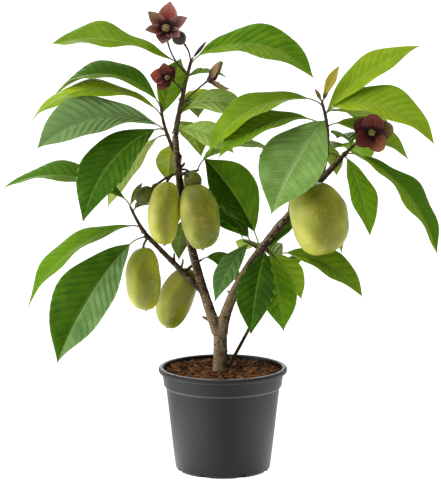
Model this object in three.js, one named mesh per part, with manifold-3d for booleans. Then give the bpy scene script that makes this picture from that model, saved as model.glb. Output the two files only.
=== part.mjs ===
// Potted pawpaw sapling with ripe fruit and maroon flowers, in a moulded nursery pot.
// Millimetres. +X right, +Y away from the viewer, +Z up. The origin is the middle of the pot's underside.
// Headings are degrees in plan: 0 right, 90 away, 180 left, 270 towards the viewer.
import * as THREE from "three";
import { mergeVertices } from "three/addons/utils/BufferGeometryUtils.js";
import Module from "manifold-3d";

const wasm = await Module();
wasm.setup();

// Clearance between pieces that sit on each other
const GAP = 0.3;

// Ridges lower than this are smoothed away where pieces are fused
const FINEST = 0.04;

// Pot: thin moulded plastic with a rolled lip, a collar under it and drain slots round the foot
const POT = {
  height: 169,
  lipRadius: 105,
  lipHeight: 8,
  lipDrop: 2.5,
  collarTopRadius: 99,
  collarFootRadius: 96,
  collarFootZ: 139.5,
  bodyTopRadius: 92.6,
  bodyTopZ: 136,
  heelRadius: 77.5,
  heelZ: 4,
  footRadius: 74.5,
  wall: 2,
  floor: 4,
  sides: 32,
};
const DRAIN = { count: 8, width: 13, depth: 12, height: 5, firstHeading: 22.5 };

// Potting mix: it fills the pot to just under the lip and dips to a level patch round the stem
const SOIL = { wallZ: 163, levelZ: 159.5, levelRadius: 34 };
const GROUND_Z = SOIL.levelZ + GAP;

// Wood. Each limb is one bend: it leaves at `rise` above level and has turned down by `droop` at its tip,
// evenly or, with a higher `ease`, mostly near its foot.
const TRUNK = {
  foot: [-4, 0],
  heading: 180,
  rise: 90,
  droop: 1,
  length: 82,
  radius: 11.6,
  tipRadius: 11,
  sides: 12,
  flare: 0.3,
  flareShare: 0.12,
};
const LIMBS = [
  {
    name: "left_bough",
    start: [-8, 0, 232],
    heading: 178,
    rise: 69,
    droop: -18,
    length: 326,
    radius: 7.8,
    tipRadius: 5.2,
    sides: 10,
  },
  {
    name: "right_bough",
    start: [-2, 0, 232],
    heading: 354,
    rise: 79,
    droop: 31,
    ease: 3,
    length: 349,
    radius: 8.7,
    tipRadius: 4.7,
    sides: 10,
  },
  {
    name: "lower_left_bough",
    start: [-26, 0, 286],
    heading: 184,
    rise: 45,
    droop: -2,
    length: 145,
    radius: 5.4,
    tipRadius: 3.8,
    sides: 8,
  },
  {
    name: "sucker",
    start: [2, 26, GROUND_Z],
    heading: 8,
    rise: 60,
    droop: -4,
    length: 150,
    radius: 2.9,
    tipRadius: 2.4,
    sides: 7,
  },
];
const LIMB_STEPS = 8;

// Leaf blades: widest past the middle, drawn out to a drip tip, folded up a little along the midrib
const LEAF = {
  width: 0.42,
  thickness: 0.011,
  fold: 16,
  peak: 1.08,
  shoulder: 0.82,
  dripTip: 0.5,
  tipWidth: 0.9,
  step: 34,
  leastSteps: 3,
};

// Leaf stalks: they leave the stem steeper than the blade, and thin out on leaves under `fullLeaf`
const PETIOLE = {
  share: 0.1,
  radius: 1.7,
  fullLeaf: 100,
  perThickness: 0.7,
  lift: 38,
  steepest: 76,
  steps: 2,
  sides: 3,
  sunk: 5,
};
const STEM = { steps: 4, sides: 6, taper: 0.62, topmost: 0.98 };

// Fruit and blossom
const STALK = { radius: 2, steps: 3, sides: 4, sunk: 4 };
const FRUIT = { blunt: 0.74, rings: 7, sides: 12 };
const FLOWER = { petals: 3, turn: 20, rise: 30, droop: 24, innerShare: 0.84, innerLift: 14, heart: 0.19 };
const PETAL = { width: 0.7, thickness: 0.045, steps: 3, claw: 0.04, reach: 0.94, round: 0.85 };
const BUD = { sides: 8, rings: 6, ahead: 0.35 };

// Sprays: one stem on a limb each, with its leaves, fruit and flowers.
//   leaves   at, heading, slope, droop, length, roll, width share, leaf stalk, peak
//   fruits   at, heading, rise, droop, stalk, length, width
//   flowers  at, heading, rise, droop, stalk, petal, heading and rise of the open face, how far it is open
//   buds     at, heading, rise, droop, stalk, size
//   far      leaves on the far side, in the same order as leaves
const SPRAYS = [
  {
    name: "crown_spray",
    limb: "left_bough",
    at: 1,
    stem: { heading: 4, rise: 80, droop: 5, length: 124, radius: 4.8 },
    leaves: [
      [0.8, 172, 8, 43, 214, -22, 0.42, 28, 1.8],
      [0.9, 350, -10, 80, 207, 28, 0.48, 28],
      [0.75, 38, -4, 40, 80, 10],
      [0.22, 14, -8, 62, 106, 58, 0.46, 28],
      [0.22, 48, 10, 50, 112, 20],
      [0.03, 354, -24, 50, 98, 54, 0.5, 14],
    ],
    flowers: [
      [0.8, 184, 41, -48, 83, 41, 268, 32, 1],
      [0.57, 200, 52, 18, 34, 29, 244, 16, 0.8],
      [0.39, 356, 46, 8, 60, 40, 350, 18, 0.4],
    ],
    buds: [[0.95, 180, 95, 44, 34, 24]],
    far: [
      [0.35, 36, -13, 40, 163, -7],
      [0.4, 75, -20, 40, 110, 4],
      [0.15, 68, -36, 40, 120, -4],
    ],
  },
  {
    name: "upper_left_spray",
    limb: "left_bough",
    at: 0.9,
    stem: { heading: 186, rise: 60, droop: -26, length: 88, radius: 3.4 },
    leaves: [
      [0.88, 163, -1, 95, 200, -15, 0.44, 24],
      [0.66, 178, -5, 90, 224, -16, 0.33, 28, 1.3],
      [0.42, 196, -9, 64, 212, -44, 0.45, 26, 1.4],
      [0.5, 216, -45, 60, 206, -32, 0.43, 26],
      [0.4, 149, -52, 30, 158, 28, 0.32, 26],
      [0.78, 56, 58, 16, 100, 30, 0.5],
      [0.2, 98, -56, 40, 84, 0, 0.56, 8],
    ],
  },
  {
    name: "fruit_cluster",
    limb: "left_bough",
    at: 0.82,
    stem: { heading: 268, rise: 8, droop: 30, length: 24, radius: 4.4 },
    leaves: [],
    fruits: [
      [0.95, 200, 5, 91, 27, 101, 52],
      [0.95, 335, 15, 95, 40, 104, 63],
      [0.8, 186, -18, 26, 52, 33, 25],
      [0.7, 350, 58, 130, 26, 30, 29],
    ],
  },
  {
    name: "centre_spray",
    limb: "left_bough",
    at: 0.8,
    stem: { heading: 24, rise: 14, droop: 10, length: 36, radius: 3 },
    leaves: [[0.95, 20, 3, 70, 134, 14, 0.42, 22]],
  },
  {
    name: "lower_left_spray",
    limb: "lower_left_bough",
    at: 1,
    stem: { heading: 176, rise: 58, droop: -8, length: 50, radius: 3.4 },
    leaves: [
      [0.2, 190, -37, 56, 222, -12, 0.38, 20],
      [0.94, 170, 4, 60, 212, -14],
      [1, 20, 60, 10, 36, 70, 0.3],
    ],
    far: [[0.8, 60, -12, 40, 130, 2]],
  },
  {
    name: "left_fruit_spur",
    limb: "lower_left_bough",
    at: 0.86,
    stem: { heading: 206, rise: 44, droop: 30, length: 20, radius: 3 },
    leaves: [[0.9, 213, -53, 26, 229, -36, 0.52, 34]],
    fruits: [[0.6, 222, -34, 58, 22, 102, 57]],
  },
  {
    name: "low_centre_spray",
    limb: "lower_left_bough",
    at: 0.36,
    stem: { heading: 42, rise: 40, droop: 30, length: 44, radius: 3 },
    leaves: [[0.95, 46, -36, 52, 108, 62, 0.42, 18]],
    fruits: [[0.8, 165, -20, 48, 25, 104, 57]],
  },
  {
    name: "right_centre_spray",
    limb: "right_bough",
    at: 0.46,
    stem: { heading: 322, rise: -62, droop: -44, length: 30, radius: 3.2 },
    leaves: [
      [0.3, 252, -58, 34, 146, -4, 0.46],
      [0.4, 290, -66, 24, 130, 0, 0.46],
      [0.55, 10, -58, 30, 92, 60, 0.54],
      [0.9, 346, -28, 52, 149, 26, 0.46, 26],
      [0.5, 44, 34, 36, 92, 10],
    ],
  },
  {
    name: "inner_right_spray",
    limb: "right_bough",
    at: 0.43,
    stem: { heading: 172, rise: 34, droop: 10, length: 32, radius: 2.8 },
    leaves: [
      [0.02, 156, 52, 24, 148, -66, 0.76, 36],
      [0.6, 132, 33, 30, 124, -14, 0.42, 16],
      [1, 140, 26, 30, 62, 0, 0.42, 10],
      [0.6, 226, -48, 36, 116, -24, 0.36],
    ],
  },
  {
    name: "right_fruit_spur",
    limb: "right_bough",
    at: 0.81,
    stem: { heading: 243, rise: 40, droop: 40, length: 46, radius: 4 },
    leaves: [],
    fruits: [[0.95, 350, 0, 77, 14, 116, 92]],
  },
  {
    name: "upright_spray",
    limb: "right_bough",
    at: 0.84,
    stem: { heading: 2, rise: 68, droop: -41, length: 132, radius: 4 },
    leaves: [
      [0.96, 195, -27, 67, 198, -18, 0.42, 32],
      [0.66, 202, -20, 60, 176, -24, 0.37, 42],
      [0.78, 226, -48, 26, 188, -28, 0.62, 8],
      [0.49, 62, -60, 20, 64, 0, 0.5],
      [0.84, 8, 34, 30, 184, 30, 0.38, 14],
      [0.86, 342, -18, 70, 188, 30, 0.48, 22, 0.84],
      [0.7, 20, -27, 44, 148, 40, 0.4, 22],
      [1, 4, 64, 12, 58, 70, 0.3, 14],
      [1, 178, 62, 8, 26, -70, 0.28],
    ],
    far: [
      [0.35, 64, -14, 40, 178, -2],
      [0.6, 150, -34, 40, 140, 0],
      [0.86, 45, -22, 40, 160, -7],
    ],
  },
  {
    name: "right_tip_spray",
    limb: "right_bough",
    at: 1,
    stem: { heading: 352, rise: 48, droop: 8, length: 26, radius: 3.6 },
    leaves: [
      [0.2, 344, -51, 46, 206, 16, 0.38, 32],
      [0.06, 304, -62, 24, 136, 0],
    ],
    flowers: [[0.95, 340, 42, 10, 37, 34.5, 268, 10, 1]],
    far: [[0.8, 100, -2, 40, 110, 4]],
  },
  {
    name: "sucker_spray",
    limb: "sucker",
    at: 1,
    stem: { heading: 30, rise: 60, droop: 10, length: 46, radius: 2.5 },
    leaves: [[0.3, 196, -26, 40, 92, -10]],
    far: [
      [0.35, 86, -16, 40, 163, 4],
      [0.68, 83, -14, 40, 187, -5],
      [1, 112, -5, 40, 182, 7],
    ],
  },
  {
    name: "back_left_spray",
    limb: "left_bough",
    at: 0.55,
    stem: { heading: 112, rise: 40, droop: 10, length: 92, radius: 3.4 },
    leaves: [[0.16, 104, -64, 20, 82, 0, 0.42, 8]],
    far: [
      [0.35, 45, -15, 40, 168, 2],
      [0.57, 68, -11, 40, 158, 2],
      [0.78, 92, -16, 40, 182, -6],
      [0.95, 96, -48, 40, 140, 1],
    ],
  },
  {
    name: "back_right_spray",
    limb: "right_bough",
    at: 0.64,
    stem: { heading: 84, rise: 40, droop: 10, length: 108, radius: 3.4 },
    leaves: [],
    far: [
      [0.35, 40, -45, 40, 150, -5],
      [0.57, 66, -30, 40, 150, -3],
      [0.78, 99, -10, 40, 156, 1],
      [1, 103, -8, 40, 165, -6],
    ],
  },
];

const FINISHES = {
  pot: { color: 0x2e2f31, roughness: 0.45 },
  soil: { color: 0x3d2415, roughness: 0.95 },
  wood: { color: 0x5d4a38, roughness: 0.85 },
  leaves: { color: 0x4f8a1f, roughness: 0.5 },
};

const rad = THREE.MathUtils.degToRad;
const BEND_STEPS = 12;

// A line of a given length in an upright plane that turns down from `rise` above level to `rise - droop`
class Bend {
  constructor(start, heading, rise, droop, length, ease = 1) {
    this.start = start;
    this.level = new THREE.Vector3(Math.cos(rad(heading)), Math.sin(rad(heading)), 0);
    this.length = length;
    this.slope = (share) => rad(rise - droop * (1 - Math.max(0, 1 - share) ** ease));
  }

  // Place, direction, upper normal and side at a share of the length
  at(share) {
    const point = this.start.clone();
    const step = share / BEND_STEPS;
    for (let i = 0; i < BEND_STEPS; i++) {
      const lean = this.slope((i + 0.5) * step);
      point.addScaledVector(this.level, Math.cos(lean) * step * this.length);
      point.z += Math.sin(lean) * step * this.length;
    }
    const slope = this.slope(share);
    const along = this.level.clone().multiplyScalar(Math.cos(slope));
    along.z = Math.sin(slope);
    const upper = this.level.clone().multiplyScalar(-Math.sin(slope));
    upper.z = Math.cos(slope);
    return { point, along, upper, side: along.clone().cross(upper) };
  }
}

// Moves each vertex of a geometry by a rule
function reshape(geometry, rule) {
  const places = geometry.getAttribute("position");
  const vertex = new THREE.Vector3();
  for (let i = 0; i < places.count; i++) {
    vertex.fromBufferAttribute(places, i);
    const moved = rule(vertex);
    places.setXYZ(i, moved.x, moved.y, moved.z);
  }
  return geometry;
}

function solidOf(geometry) {
  geometry.deleteAttribute("normal");
  geometry.deleteAttribute("uv");
  const merged = mergeVertices(geometry, 1e-4);
  const mesh = { numProp: 3, vertProperties: merged.attributes.position.array };
  return new wasm.Manifold(new wasm.Mesh({ ...mesh, triVerts: new Uint32Array(merged.index.array) }));
}

function geometryOf(solid) {
  const mesh = solid.getMesh();
  const geometry = new THREE.BufferGeometry();
  geometry.setAttribute("position", new THREE.BufferAttribute(mesh.vertProperties, 3));
  geometry.setIndex(new THREE.BufferAttribute(mesh.triVerts, 1));
  geometry.computeVertexNormals();
  return geometry;
}

// A round tapering rod along a bend. `grow` widens and lengthens it for a clearance cut.
function rod(bend, radius, tipRadius, sides, steps, grow = 0, swell = () => 1) {
  const rodShape = new THREE.CylinderGeometry(tipRadius + grow, radius + grow, 1, sides, steps);
  const reach = 1 + grow / bend.length;
  return reshape(rodShape, ({ x, y, z }) => {
    const share = (y + 0.5) * reach;
    const { point, side, upper } = bend.at(share);
    const wide = swell(share);
    return point.addScaledVector(side, x * wide).addScaledVector(upper, z * wide);
  });
}

// Half width of a blade at a share of its length, as a share of the widest
function bladeOutline(share, peak) {
  const body = Math.sin(Math.PI * Math.min(1, share ** peak));
  return Math.max(0, body) ** (LEAF.shoulder + LEAF.dripTip * share);
}

// A thin folded blade along a bend, rolled about its midrib
function blade(bend, width, thickness, fold, roll, steps, outline, strips = 2) {
  const sheet = new THREE.BoxGeometry(2, thickness, 1, strips, 1, steps);
  const least = LEAF.tipWidth / 2;
  const cos = Math.cos(rad(roll));
  const sin = Math.sin(rad(roll));
  return reshape(sheet, ({ x, y, z }) => {
    const share = 0.5 - z;
    const { point, side, upper } = bend.at(share);
    const half = Math.max(least, (width / 2) * outline(share));
    const across = x * half * Math.cos(rad(fold));
    const lifted = y + Math.abs(x) * half * Math.sin(rad(fold));
    const rolledSide = side.clone().multiplyScalar(cos).addScaledVector(upper, -sin);
    const rolledUpper = upper.clone().multiplyScalar(cos).addScaledVector(side, sin);
    return point.addScaledVector(rolledSide, across).addScaledVector(rolledUpper, lifted);
  });
}

// A leaf: its stalk leaves the stem steeply and flattens into the blade's midrib
function leafBends(root, [, heading, slope, droop, length, , , stalkLength = PETIOLE.share * length]) {
  const rise = slope + droop / 2;
  const steep = Math.max(rise, Math.min(rise + PETIOLE.lift, PETIOLE.steepest));
  const stalk = new Bend(root, heading, steep, steep - rise, stalkLength);
  const { point, along } = stalk.at(1);
  const start = point.addScaledVector(along, -Math.min(PETIOLE.sunk, stalkLength / 2));
  return { stalk, midrib: new Bend(start, heading, rise, droop, length) };
}

function leaf(root, spec) {
  const [, , , , length, roll, width = LEAF.width, , peak = LEAF.peak] = spec;
  const { stalk, midrib } = leafBends(root, spec);
  const thickness = LEAF.thickness * length;
  const steps = Math.max(LEAF.leastSteps, Math.round(length / LEAF.step));
  const slim = PETIOLE.radius * Math.min(1, length / PETIOLE.fullLeaf);
  const outline = (share) => bladeOutline(share, peak);
  const radius = Math.max(slim, thickness * PETIOLE.perThickness);
  return [
    solidOf(rod(stalk, radius, radius, PETIOLE.sides, PETIOLE.steps)),
    solidOf(blade(midrib, width * length, thickness, LEAF.fold, roll, steps, outline)),
  ];
}

// A fruit hangs on from the end of its stalk
function fruit(root, [, heading, rise, droop, stalkLength, length, width]) {
  const stalk = new Bend(root, heading, rise, droop, stalkLength);
  const { point, along } = stalk.at(1);
  const profile = [];
  for (let i = 0; i <= FRUIT.rings; i++) {
    const turn = Math.PI * (i / FRUIT.rings - 0.5);
    const wide = i % FRUIT.rings === 0 ? 0 : Math.cos(turn) ** FRUIT.blunt;
    profile.push(new THREE.Vector2((width / 2) * wide, (length / 2) * Math.sin(turn)));
  }
  const flesh = new THREE.LatheGeometry(profile, FRUIT.sides);
  const axis = new THREE.Quaternion().setFromUnitVectors(new THREE.Vector3(0, 1, 0), along);
  const middle = point.clone().addScaledVector(along, length / 2 - STALK.sunk);
  flesh.applyQuaternion(axis).translate(...middle);
  return [solidOf(rod(stalk, STALK.radius, STALK.radius, STALK.sides, STALK.steps)), solidOf(flesh)];
}

function petalOutline(share) {
  return Math.sin(Math.PI * (PETAL.claw + PETAL.reach * share)) ** PETAL.round;
}

// A flower: three outer petals and three slightly shorter, steeper inner ones round a ball of stamens
function flower(root, [, heading, rise, droop, stalkLength, petal, faceHeading, faceRise, open]) {
  const stalk = new Bend(root, heading, rise, droop, stalkLength);
  const face = new Bend(new THREE.Vector3(), faceHeading, faceRise, 0, 1).at(0).along;
  const turn = new THREE.Quaternion().setFromUnitVectors(new THREE.Vector3(0, 0, 1), face);
  const middle = stalk.at(1).point;
  const place = (geometry) => solidOf(geometry.applyQuaternion(turn).translate(...middle));
  const pieces = [
    solidOf(rod(stalk, STALK.radius, STALK.radius, STALK.sides, STALK.steps)),
    place(new THREE.IcosahedronGeometry(petal * FLOWER.heart)),
  ];
  for (let i = 0; i < 2 * FLOWER.petals; i++) {
    const inner = i % 2;
    const length = inner ? petal * FLOWER.innerShare : petal;
    const lifted = 90 - (90 - FLOWER.rise - inner * FLOWER.innerLift) * open;
    const way = FLOWER.turn + (180 / FLOWER.petals) * i;
    const rib = new Bend(new THREE.Vector3(), way, lifted, FLOWER.droop * open, length);
    const thickness = length * PETAL.thickness;
    const sheet = blade(rib, length * PETAL.width, thickness, 0, 0, PETAL.steps, petalOutline, 1);
    pieces.push(place(sheet));
  }
  return pieces;
}

// A closed round bud at the end of its stalk
function bud(root, [, heading, rise, droop, stalkLength, size]) {
  const stalk = new Bend(root, heading, rise, droop, stalkLength);
  const { point, along } = stalk.at(1);
  const middle = point.clone().addScaledVector(along, size * BUD.ahead);
  const ball = new THREE.SphereGeometry(size / 2, BUD.sides, BUD.rings).translate(...middle);
  return [solidOf(rod(stalk, STALK.radius, STALK.radius, STALK.sides, STALK.steps)), solidOf(ball)];
}

function limbBend({ start, heading, rise, droop, length, ease }) {
  return new Bend(new THREE.Vector3(...start), heading, rise, droop, length, ease);
}

function spray(spec, limbBends) {
  const limb = limbBends.get(spec.limb);
  const { heading, rise, droop, length, radius } = spec.stem;
  const root = limb.at(spec.at).point;
  const stem = new Bend(root, heading, rise, droop, length);
  const pieces = [solidOf(rod(stem, radius, radius * STEM.taper, STEM.sides, STEM.steps))];
  const grow = (make, items = []) => {
    for (const item of items) pieces.push(...make(stem.at(item[0] * STEM.topmost).point, item));
  };
  grow(leaf, spec.leaves);
  grow(leaf, spec.far);
  grow(fruit, spec.fruits);
  grow(flower, spec.flowers);
  grow(bud, spec.buds);
  return wasm.Manifold.union(pieces);
}

// The largest body of a solid, so that a scrap left by a cut is dropped
function largest(solid) {
  const bodies = solid.decompose().sort((a, b) => b.volume() - a.volume());
  return bodies[0].simplify(FINEST);
}

function potWall(inset) {
  const p = POT;
  return [
    [p.footRadius - inset, 0],
    [p.heelRadius - inset, p.heelZ],
    [p.bodyTopRadius - inset, p.bodyTopZ],
    [p.collarFootRadius - inset, p.collarFootZ],
    [p.collarTopRadius - inset, p.height - p.lipHeight],
  ];
}

const turned = (points) => points.map(([radius, z]) => new THREE.Vector2(radius, z));

// LatheGeometry turns about Y, so a lathed piece is stood up on Z
function lathe(points, sides) {
  return new THREE.LatheGeometry(turned(points), sides).rotateX(Math.PI / 2);
}

function pot() {
  const { height, lipRadius, lipHeight, lipDrop, wall, floor, sides, collarTopRadius } = POT;
  const outside = potWall(0);
  const inside = potWall(wall).slice(1).reverse();
  const shell = lathe(
    [
      [0, 0],
      ...outside,
      [lipRadius - 1, height - lipHeight],
      [lipRadius, height - lipDrop],
      [lipRadius - lipDrop, height],
      [collarTopRadius - wall, height],
      ...inside.slice(0, -1),
      [POT.heelRadius - wall, floor],
      [0, floor],
    ],
    sides,
  );
  let solid = solidOf(shell);
  for (let i = 0; i < DRAIN.count; i++) {
    const slot = new THREE.BoxGeometry(DRAIN.depth, DRAIN.width, 2 * DRAIN.height);
    slot.translate(POT.heelRadius, 0, 0);
    slot.rotateZ(rad(DRAIN.firstHeading + (360 / DRAIN.count) * i));
    solid = solid.subtract(solidOf(slot));
  }
  return solid;
}

function soil() {
  const inside = potWall(POT.wall + GAP);
  const [heel, bodyTop, collarFoot] = inside.slice(1);
  const share = (SOIL.wallZ - POT.collarFootZ) / (POT.height - POT.lipHeight - POT.collarFootZ);
  const edge = THREE.MathUtils.lerp(POT.collarFootRadius, POT.collarTopRadius, share) - POT.wall - GAP;
  const floorZ = POT.floor + GAP;
  return solidOf(
    lathe(
      [
        [0, floorZ],
        [heel[0], floorZ],
        bodyTop,
        collarFoot,
        [edge, SOIL.wallZ],
        [SOIL.levelRadius, SOIL.levelZ],
        [0, SOIL.levelZ],
      ],
      POT.sides,
    ),
  );
}

function trunkSolid(bend, grow) {
  const flare = (share) => 1 + TRUNK.flare * Math.exp(-share / TRUNK.flareShare);
  return solidOf(rod(bend, TRUNK.radius, TRUNK.tipRadius, TRUNK.sides, LIMB_STEPS, grow, flare));
}

// Takes off what a leaning limb's foot has below the ground
function levelCut(solid) {
  return solid.trimByPlane([0, 0, 1], GROUND_Z);
}

const plant = new THREE.Group();

function add(name, solid, finish) {
  const material = new THREE.MeshStandardMaterial({ ...finish, metalness: 0 });
  const mesh = new THREE.Mesh(geometryOf(solid), material);
  mesh.name = name;
  plant.add(mesh);
}

add("pot", pot(), FINISHES.pot);
add("soil", soil(), FINISHES.soil);

const trunkBend = limbBend({ ...TRUNK, start: [...TRUNK.foot, GROUND_Z] });
add("trunk", levelCut(trunkSolid(trunkBend, 0)), FINISHES.wood);

// Each limb is cut clear of those before it, and each spray of every limb
const bends = new Map();
const envelopes = [trunkSolid(trunkBend, GAP)];
for (const limb of LIMBS) {
  const bend = limbBend(limb);
  bends.set(limb.name, bend);
  const solid = (grow) => solidOf(rod(bend, limb.radius, limb.tipRadius, limb.sides, LIMB_STEPS, grow));
  const cut = envelopes.reduce((rest, other) => rest.subtract(other), solid(0));
  add(limb.name, levelCut(largest(cut)), FINISHES.wood);
  envelopes.push(solid(GAP));
}

for (const spec of SPRAYS) {
  const cut = envelopes.reduce((rest, other) => rest.subtract(other), spray(spec, bends));
  add(spec.name, largest(cut), FINISHES.leaves);
}

export default plant;
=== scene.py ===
"""A potted pawpaw sapling in the part's own frame: pot, potting mix, wood, leaves, fruit and flowers."""
import math

import bpy
import numpy as np
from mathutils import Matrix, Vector, noise


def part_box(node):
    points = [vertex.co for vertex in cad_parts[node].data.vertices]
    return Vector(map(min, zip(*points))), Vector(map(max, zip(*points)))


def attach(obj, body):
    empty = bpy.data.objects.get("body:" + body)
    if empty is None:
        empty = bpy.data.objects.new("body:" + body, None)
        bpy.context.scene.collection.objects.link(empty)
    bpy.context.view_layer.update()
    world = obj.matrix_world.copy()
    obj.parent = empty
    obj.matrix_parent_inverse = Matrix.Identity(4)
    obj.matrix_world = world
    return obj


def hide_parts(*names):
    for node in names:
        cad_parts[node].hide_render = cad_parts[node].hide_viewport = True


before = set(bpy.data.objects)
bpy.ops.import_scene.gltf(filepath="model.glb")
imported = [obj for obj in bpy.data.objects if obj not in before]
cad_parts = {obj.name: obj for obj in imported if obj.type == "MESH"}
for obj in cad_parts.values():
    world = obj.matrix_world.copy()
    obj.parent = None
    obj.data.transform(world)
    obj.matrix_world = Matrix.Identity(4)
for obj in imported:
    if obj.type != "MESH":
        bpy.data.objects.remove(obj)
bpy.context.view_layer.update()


# Nursery pot
# Injection-moulded from charcoal polypropylene about 2 mm thick: a rolled lip, a collar that nests in
# the next pot of a stack, a tapering body, and drain slots cut through where the wall turns under.
MM = 0.001  # the plant's and the pot's sizes are in millimetres
BODY = "root"
NO_CREASE = 180
POT_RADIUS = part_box("pot")[1].x / MM
POT_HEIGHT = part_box("pot")[1].z / MM
POT_SIDES = 160
POT_CREASE = 35
LIP_BASE = POT_HEIGHT - 8
COLLAR_BASE = 136
COLLAR_STEP = 139.5
POT_FLOOR = 4
POT_CORNERS = [
    # radius, height, rounding
    (0, 0, 0),
    (74.5, 0, 1.4),
    (77.5, 4, 4),
    (92.6, COLLAR_BASE, 1.6),
    (96, COLLAR_STEP, 1.4),
    (99, LIP_BASE, 0.9),
    (POT_RADIUS - 1, LIP_BASE, 0.8),
    (POT_RADIUS, POT_HEIGHT - 2.5, 1.8),
    (POT_RADIUS - 2.5, POT_HEIGHT, 1.4),
    (97, POT_HEIGHT, 1.6),
    (96.6, LIP_BASE, 2),
    (94, COLLAR_STEP, 2),
    (90.6, COLLAR_BASE, 2),
    (75.5, POT_FLOOR, 2),
    (0, POT_FLOOR, 0),
]
DRAIN_COUNT = 8
DRAIN_RING = 77.5
DRAIN_SIZE = (12, 13, 10)
DRAIN_FIRST = math.radians(22.5)
# Painted highlights: lighter bands at the lip top, the collar step and the lip's foot, for light caught on
# those edges.
EDGE_HIGHLIGHTS = [
    # height, reach up and down
    (POT_HEIGHT - 0.6, 1.4),
    (138, 2.2),
    (LIP_BASE, 1.2),
]
DUST_FROM = 135
DUST_FULL = 168
CHARCOAL = "#0b0b0d"
CHARCOAL_WORN = "#151517"
CHARCOAL_HIGHLIGHT = "#5e5e62"
POT_DUST = "#3c3028"


class Wire:
    """An output of a node tree. Sums on it, with numbers or other wires, add Math nodes."""

    def __init__(self, tree, socket):
        self.tree = tree
        self.socket = socket

    def sum(self, operation, first, second):
        return self.tree.node("ShaderNodeMath", {"operation": operation}, {0: first, 1: second})

    def __add__(self, other):
        return self.sum("ADD", self, other)

    def __sub__(self, other):
        return self.sum("SUBTRACT", self, other)

    def __rsub__(self, other):
        return self.sum("SUBTRACT", other, self)

    def __mul__(self, other):
        return self.sum("MULTIPLY", self, other)

    def __pow__(self, other):
        return self.sum("POWER", self, other)

    __radd__ = __add__
    __rmul__ = __mul__


class Tree:
    """A node tree in the making."""

    def __init__(self, node_tree):
        self.nodes = node_tree.nodes
        self.links = node_tree.links

    def node(self, kind, settings=None, inputs=None, out=0):
        made = self.nodes.new(kind)
        for name, value in (settings or {}).items():
            setattr(made, name, value)
        for key, value in (inputs or {}).items():
            if isinstance(value, Wire):
                self.links.new(value.socket, made.inputs[key])
            else:
                made.inputs[key].default_value = value
        return Wire(self, made.outputs[out])

    def noise(self, place, scale, detail=3, out=0):
        inputs = {"Vector": place, "Scale": scale, "Detail": detail}
        return self.node("ShaderNodeTexNoise", None, inputs, out)

    def band(self, value, low, high):
        """0 below low, 1 above high and a soft step between."""
        inputs = {"Value": value, "From Min": low, "From Max": high}
        return self.node("ShaderNodeMapRange", {"interpolation_type": "SMOOTHSTEP"}, inputs)

    def vector(self, operation, first, second, out="Vector"):
        return self.node("ShaderNodeVectorMath", {"operation": operation}, {0: first, 1: second}, out)

    def stretched(self, place, scale):
        return self.vector("MULTIPLY", place, scale)

    def scaled(self, arrow, factor):
        return self.node("ShaderNodeVectorMath", {"operation": "SCALE"}, {0: arrow, "Scale": factor})


class Finish(Tree):
    """A material: constants sit on its shader, and what varies is fed from nodes."""

    def __init__(self, name, constants=None):
        self.material = bpy.data.materials.new(name)
        self.material.use_nodes = True
        super().__init__(self.material.node_tree)
        self.shader = self.nodes["Principled BSDF"]
        for socket, value in (constants or {}).items():
            self.shader.inputs[socket].default_value = value

    def place(self):
        return self.node("ShaderNodeTexCoord", out="Object")

    def trait(self, name):
        return self.node("ShaderNodeAttribute", {"attribute_name": name}, out="Fac")

    def blend(self, factor, first, second):
        return self.node("ShaderNodeMix", {"data_type": "RGBA"}, {0: factor, 6: first, 7: second}, out=2)

    def feed(self, socket, wire):
        self.links.new(wire.socket, self.shader.inputs[socket])

    def bump(self, height, distance, strength=1.0):
        inputs = {"Height": height, "Distance": distance, "Strength": strength}
        self.feed("Normal", self.node("ShaderNodeBump", None, inputs))


class Growth(Tree):
    """A Geometry Nodes group with a named input for each size, run on a piece to leave a plain mesh."""

    def __init__(self, name, sizes):
        self.group = bpy.data.node_groups.new(name, "GeometryNodeTree")
        super().__init__(self.group)
        face = self.group.interface
        face.new_socket("Geometry", in_out="INPUT", socket_type="NodeSocketGeometry")
        self.keys = {}
        for label, kind in sizes.items():
            socket = face.new_socket(label, in_out="INPUT", socket_type="NodeSocket" + kind)
            self.keys[label] = socket.identifier
        face.new_socket("Geometry", in_out="OUTPUT", socket_type="NodeSocketGeometry")
        self.entry = self.nodes.new("NodeGroupInput")
        self.exit = self.nodes.new("NodeGroupOutput")

    def given(self, label="Geometry"):
        return Wire(self, self.entry.outputs[label])

    def drawn(self, low, high):
        """A vector drawn for each point between two others, from the group's seed."""
        inputs = {0: low, 1: high, "Seed": self.given("Seed")}
        return self.node("FunctionNodeRandomValue", {"data_type": "FLOAT_VECTOR"}, inputs)

    def facing(self, axis, direction):
        """The turn that points an axis of an item in a direction."""
        return self.node("FunctionNodeAlignRotationToVector", {"axis": axis}, {"Vector": direction})

    def set_out(self, points, item, turn, scale=(1, 1, 1)):
        """An item repeated at each point."""
        inputs = {"Points": points, "Instance": item, "Rotation": turn, "Scale": scale}
        return self.node("GeometryNodeInstanceOnPoints", None, inputs)

    def marked(self, geometry, trait, value):
        """Keeps a value at each point for the finishes to read."""
        inputs = {0: geometry, "Name": trait, "Value": value}
        return self.node("GeometryNodeStoreNamedAttribute", None, inputs)

    def ends_in(self, geometry):
        whole = self.node("GeometryNodeRealizeInstances", None, {0: geometry})
        painted = self.node("GeometryNodeSetMaterial", None, {0: whole, "Material": self.given("Finish")})
        self.links.new(painted.socket, self.exit.inputs[0])

    def grow(self, piece, sizes):
        modifier = piece.modifiers.new(self.group.name, "NODES")
        modifier.node_group = self.group
        for label, value in sizes.items():
            modifier[self.keys[label]] = value
        return settled(piece)


def tint(code):
    """A colour from its red, green and blue pairs, as linear light."""
    shares = [int(code[i : i + 2], 16) / 255 for i in (1, 3, 5)]
    return (*(c / 12.92 if c < 0.04 else ((c + 0.055) / 1.055) ** 2.4 for c in shares), 1)


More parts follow.
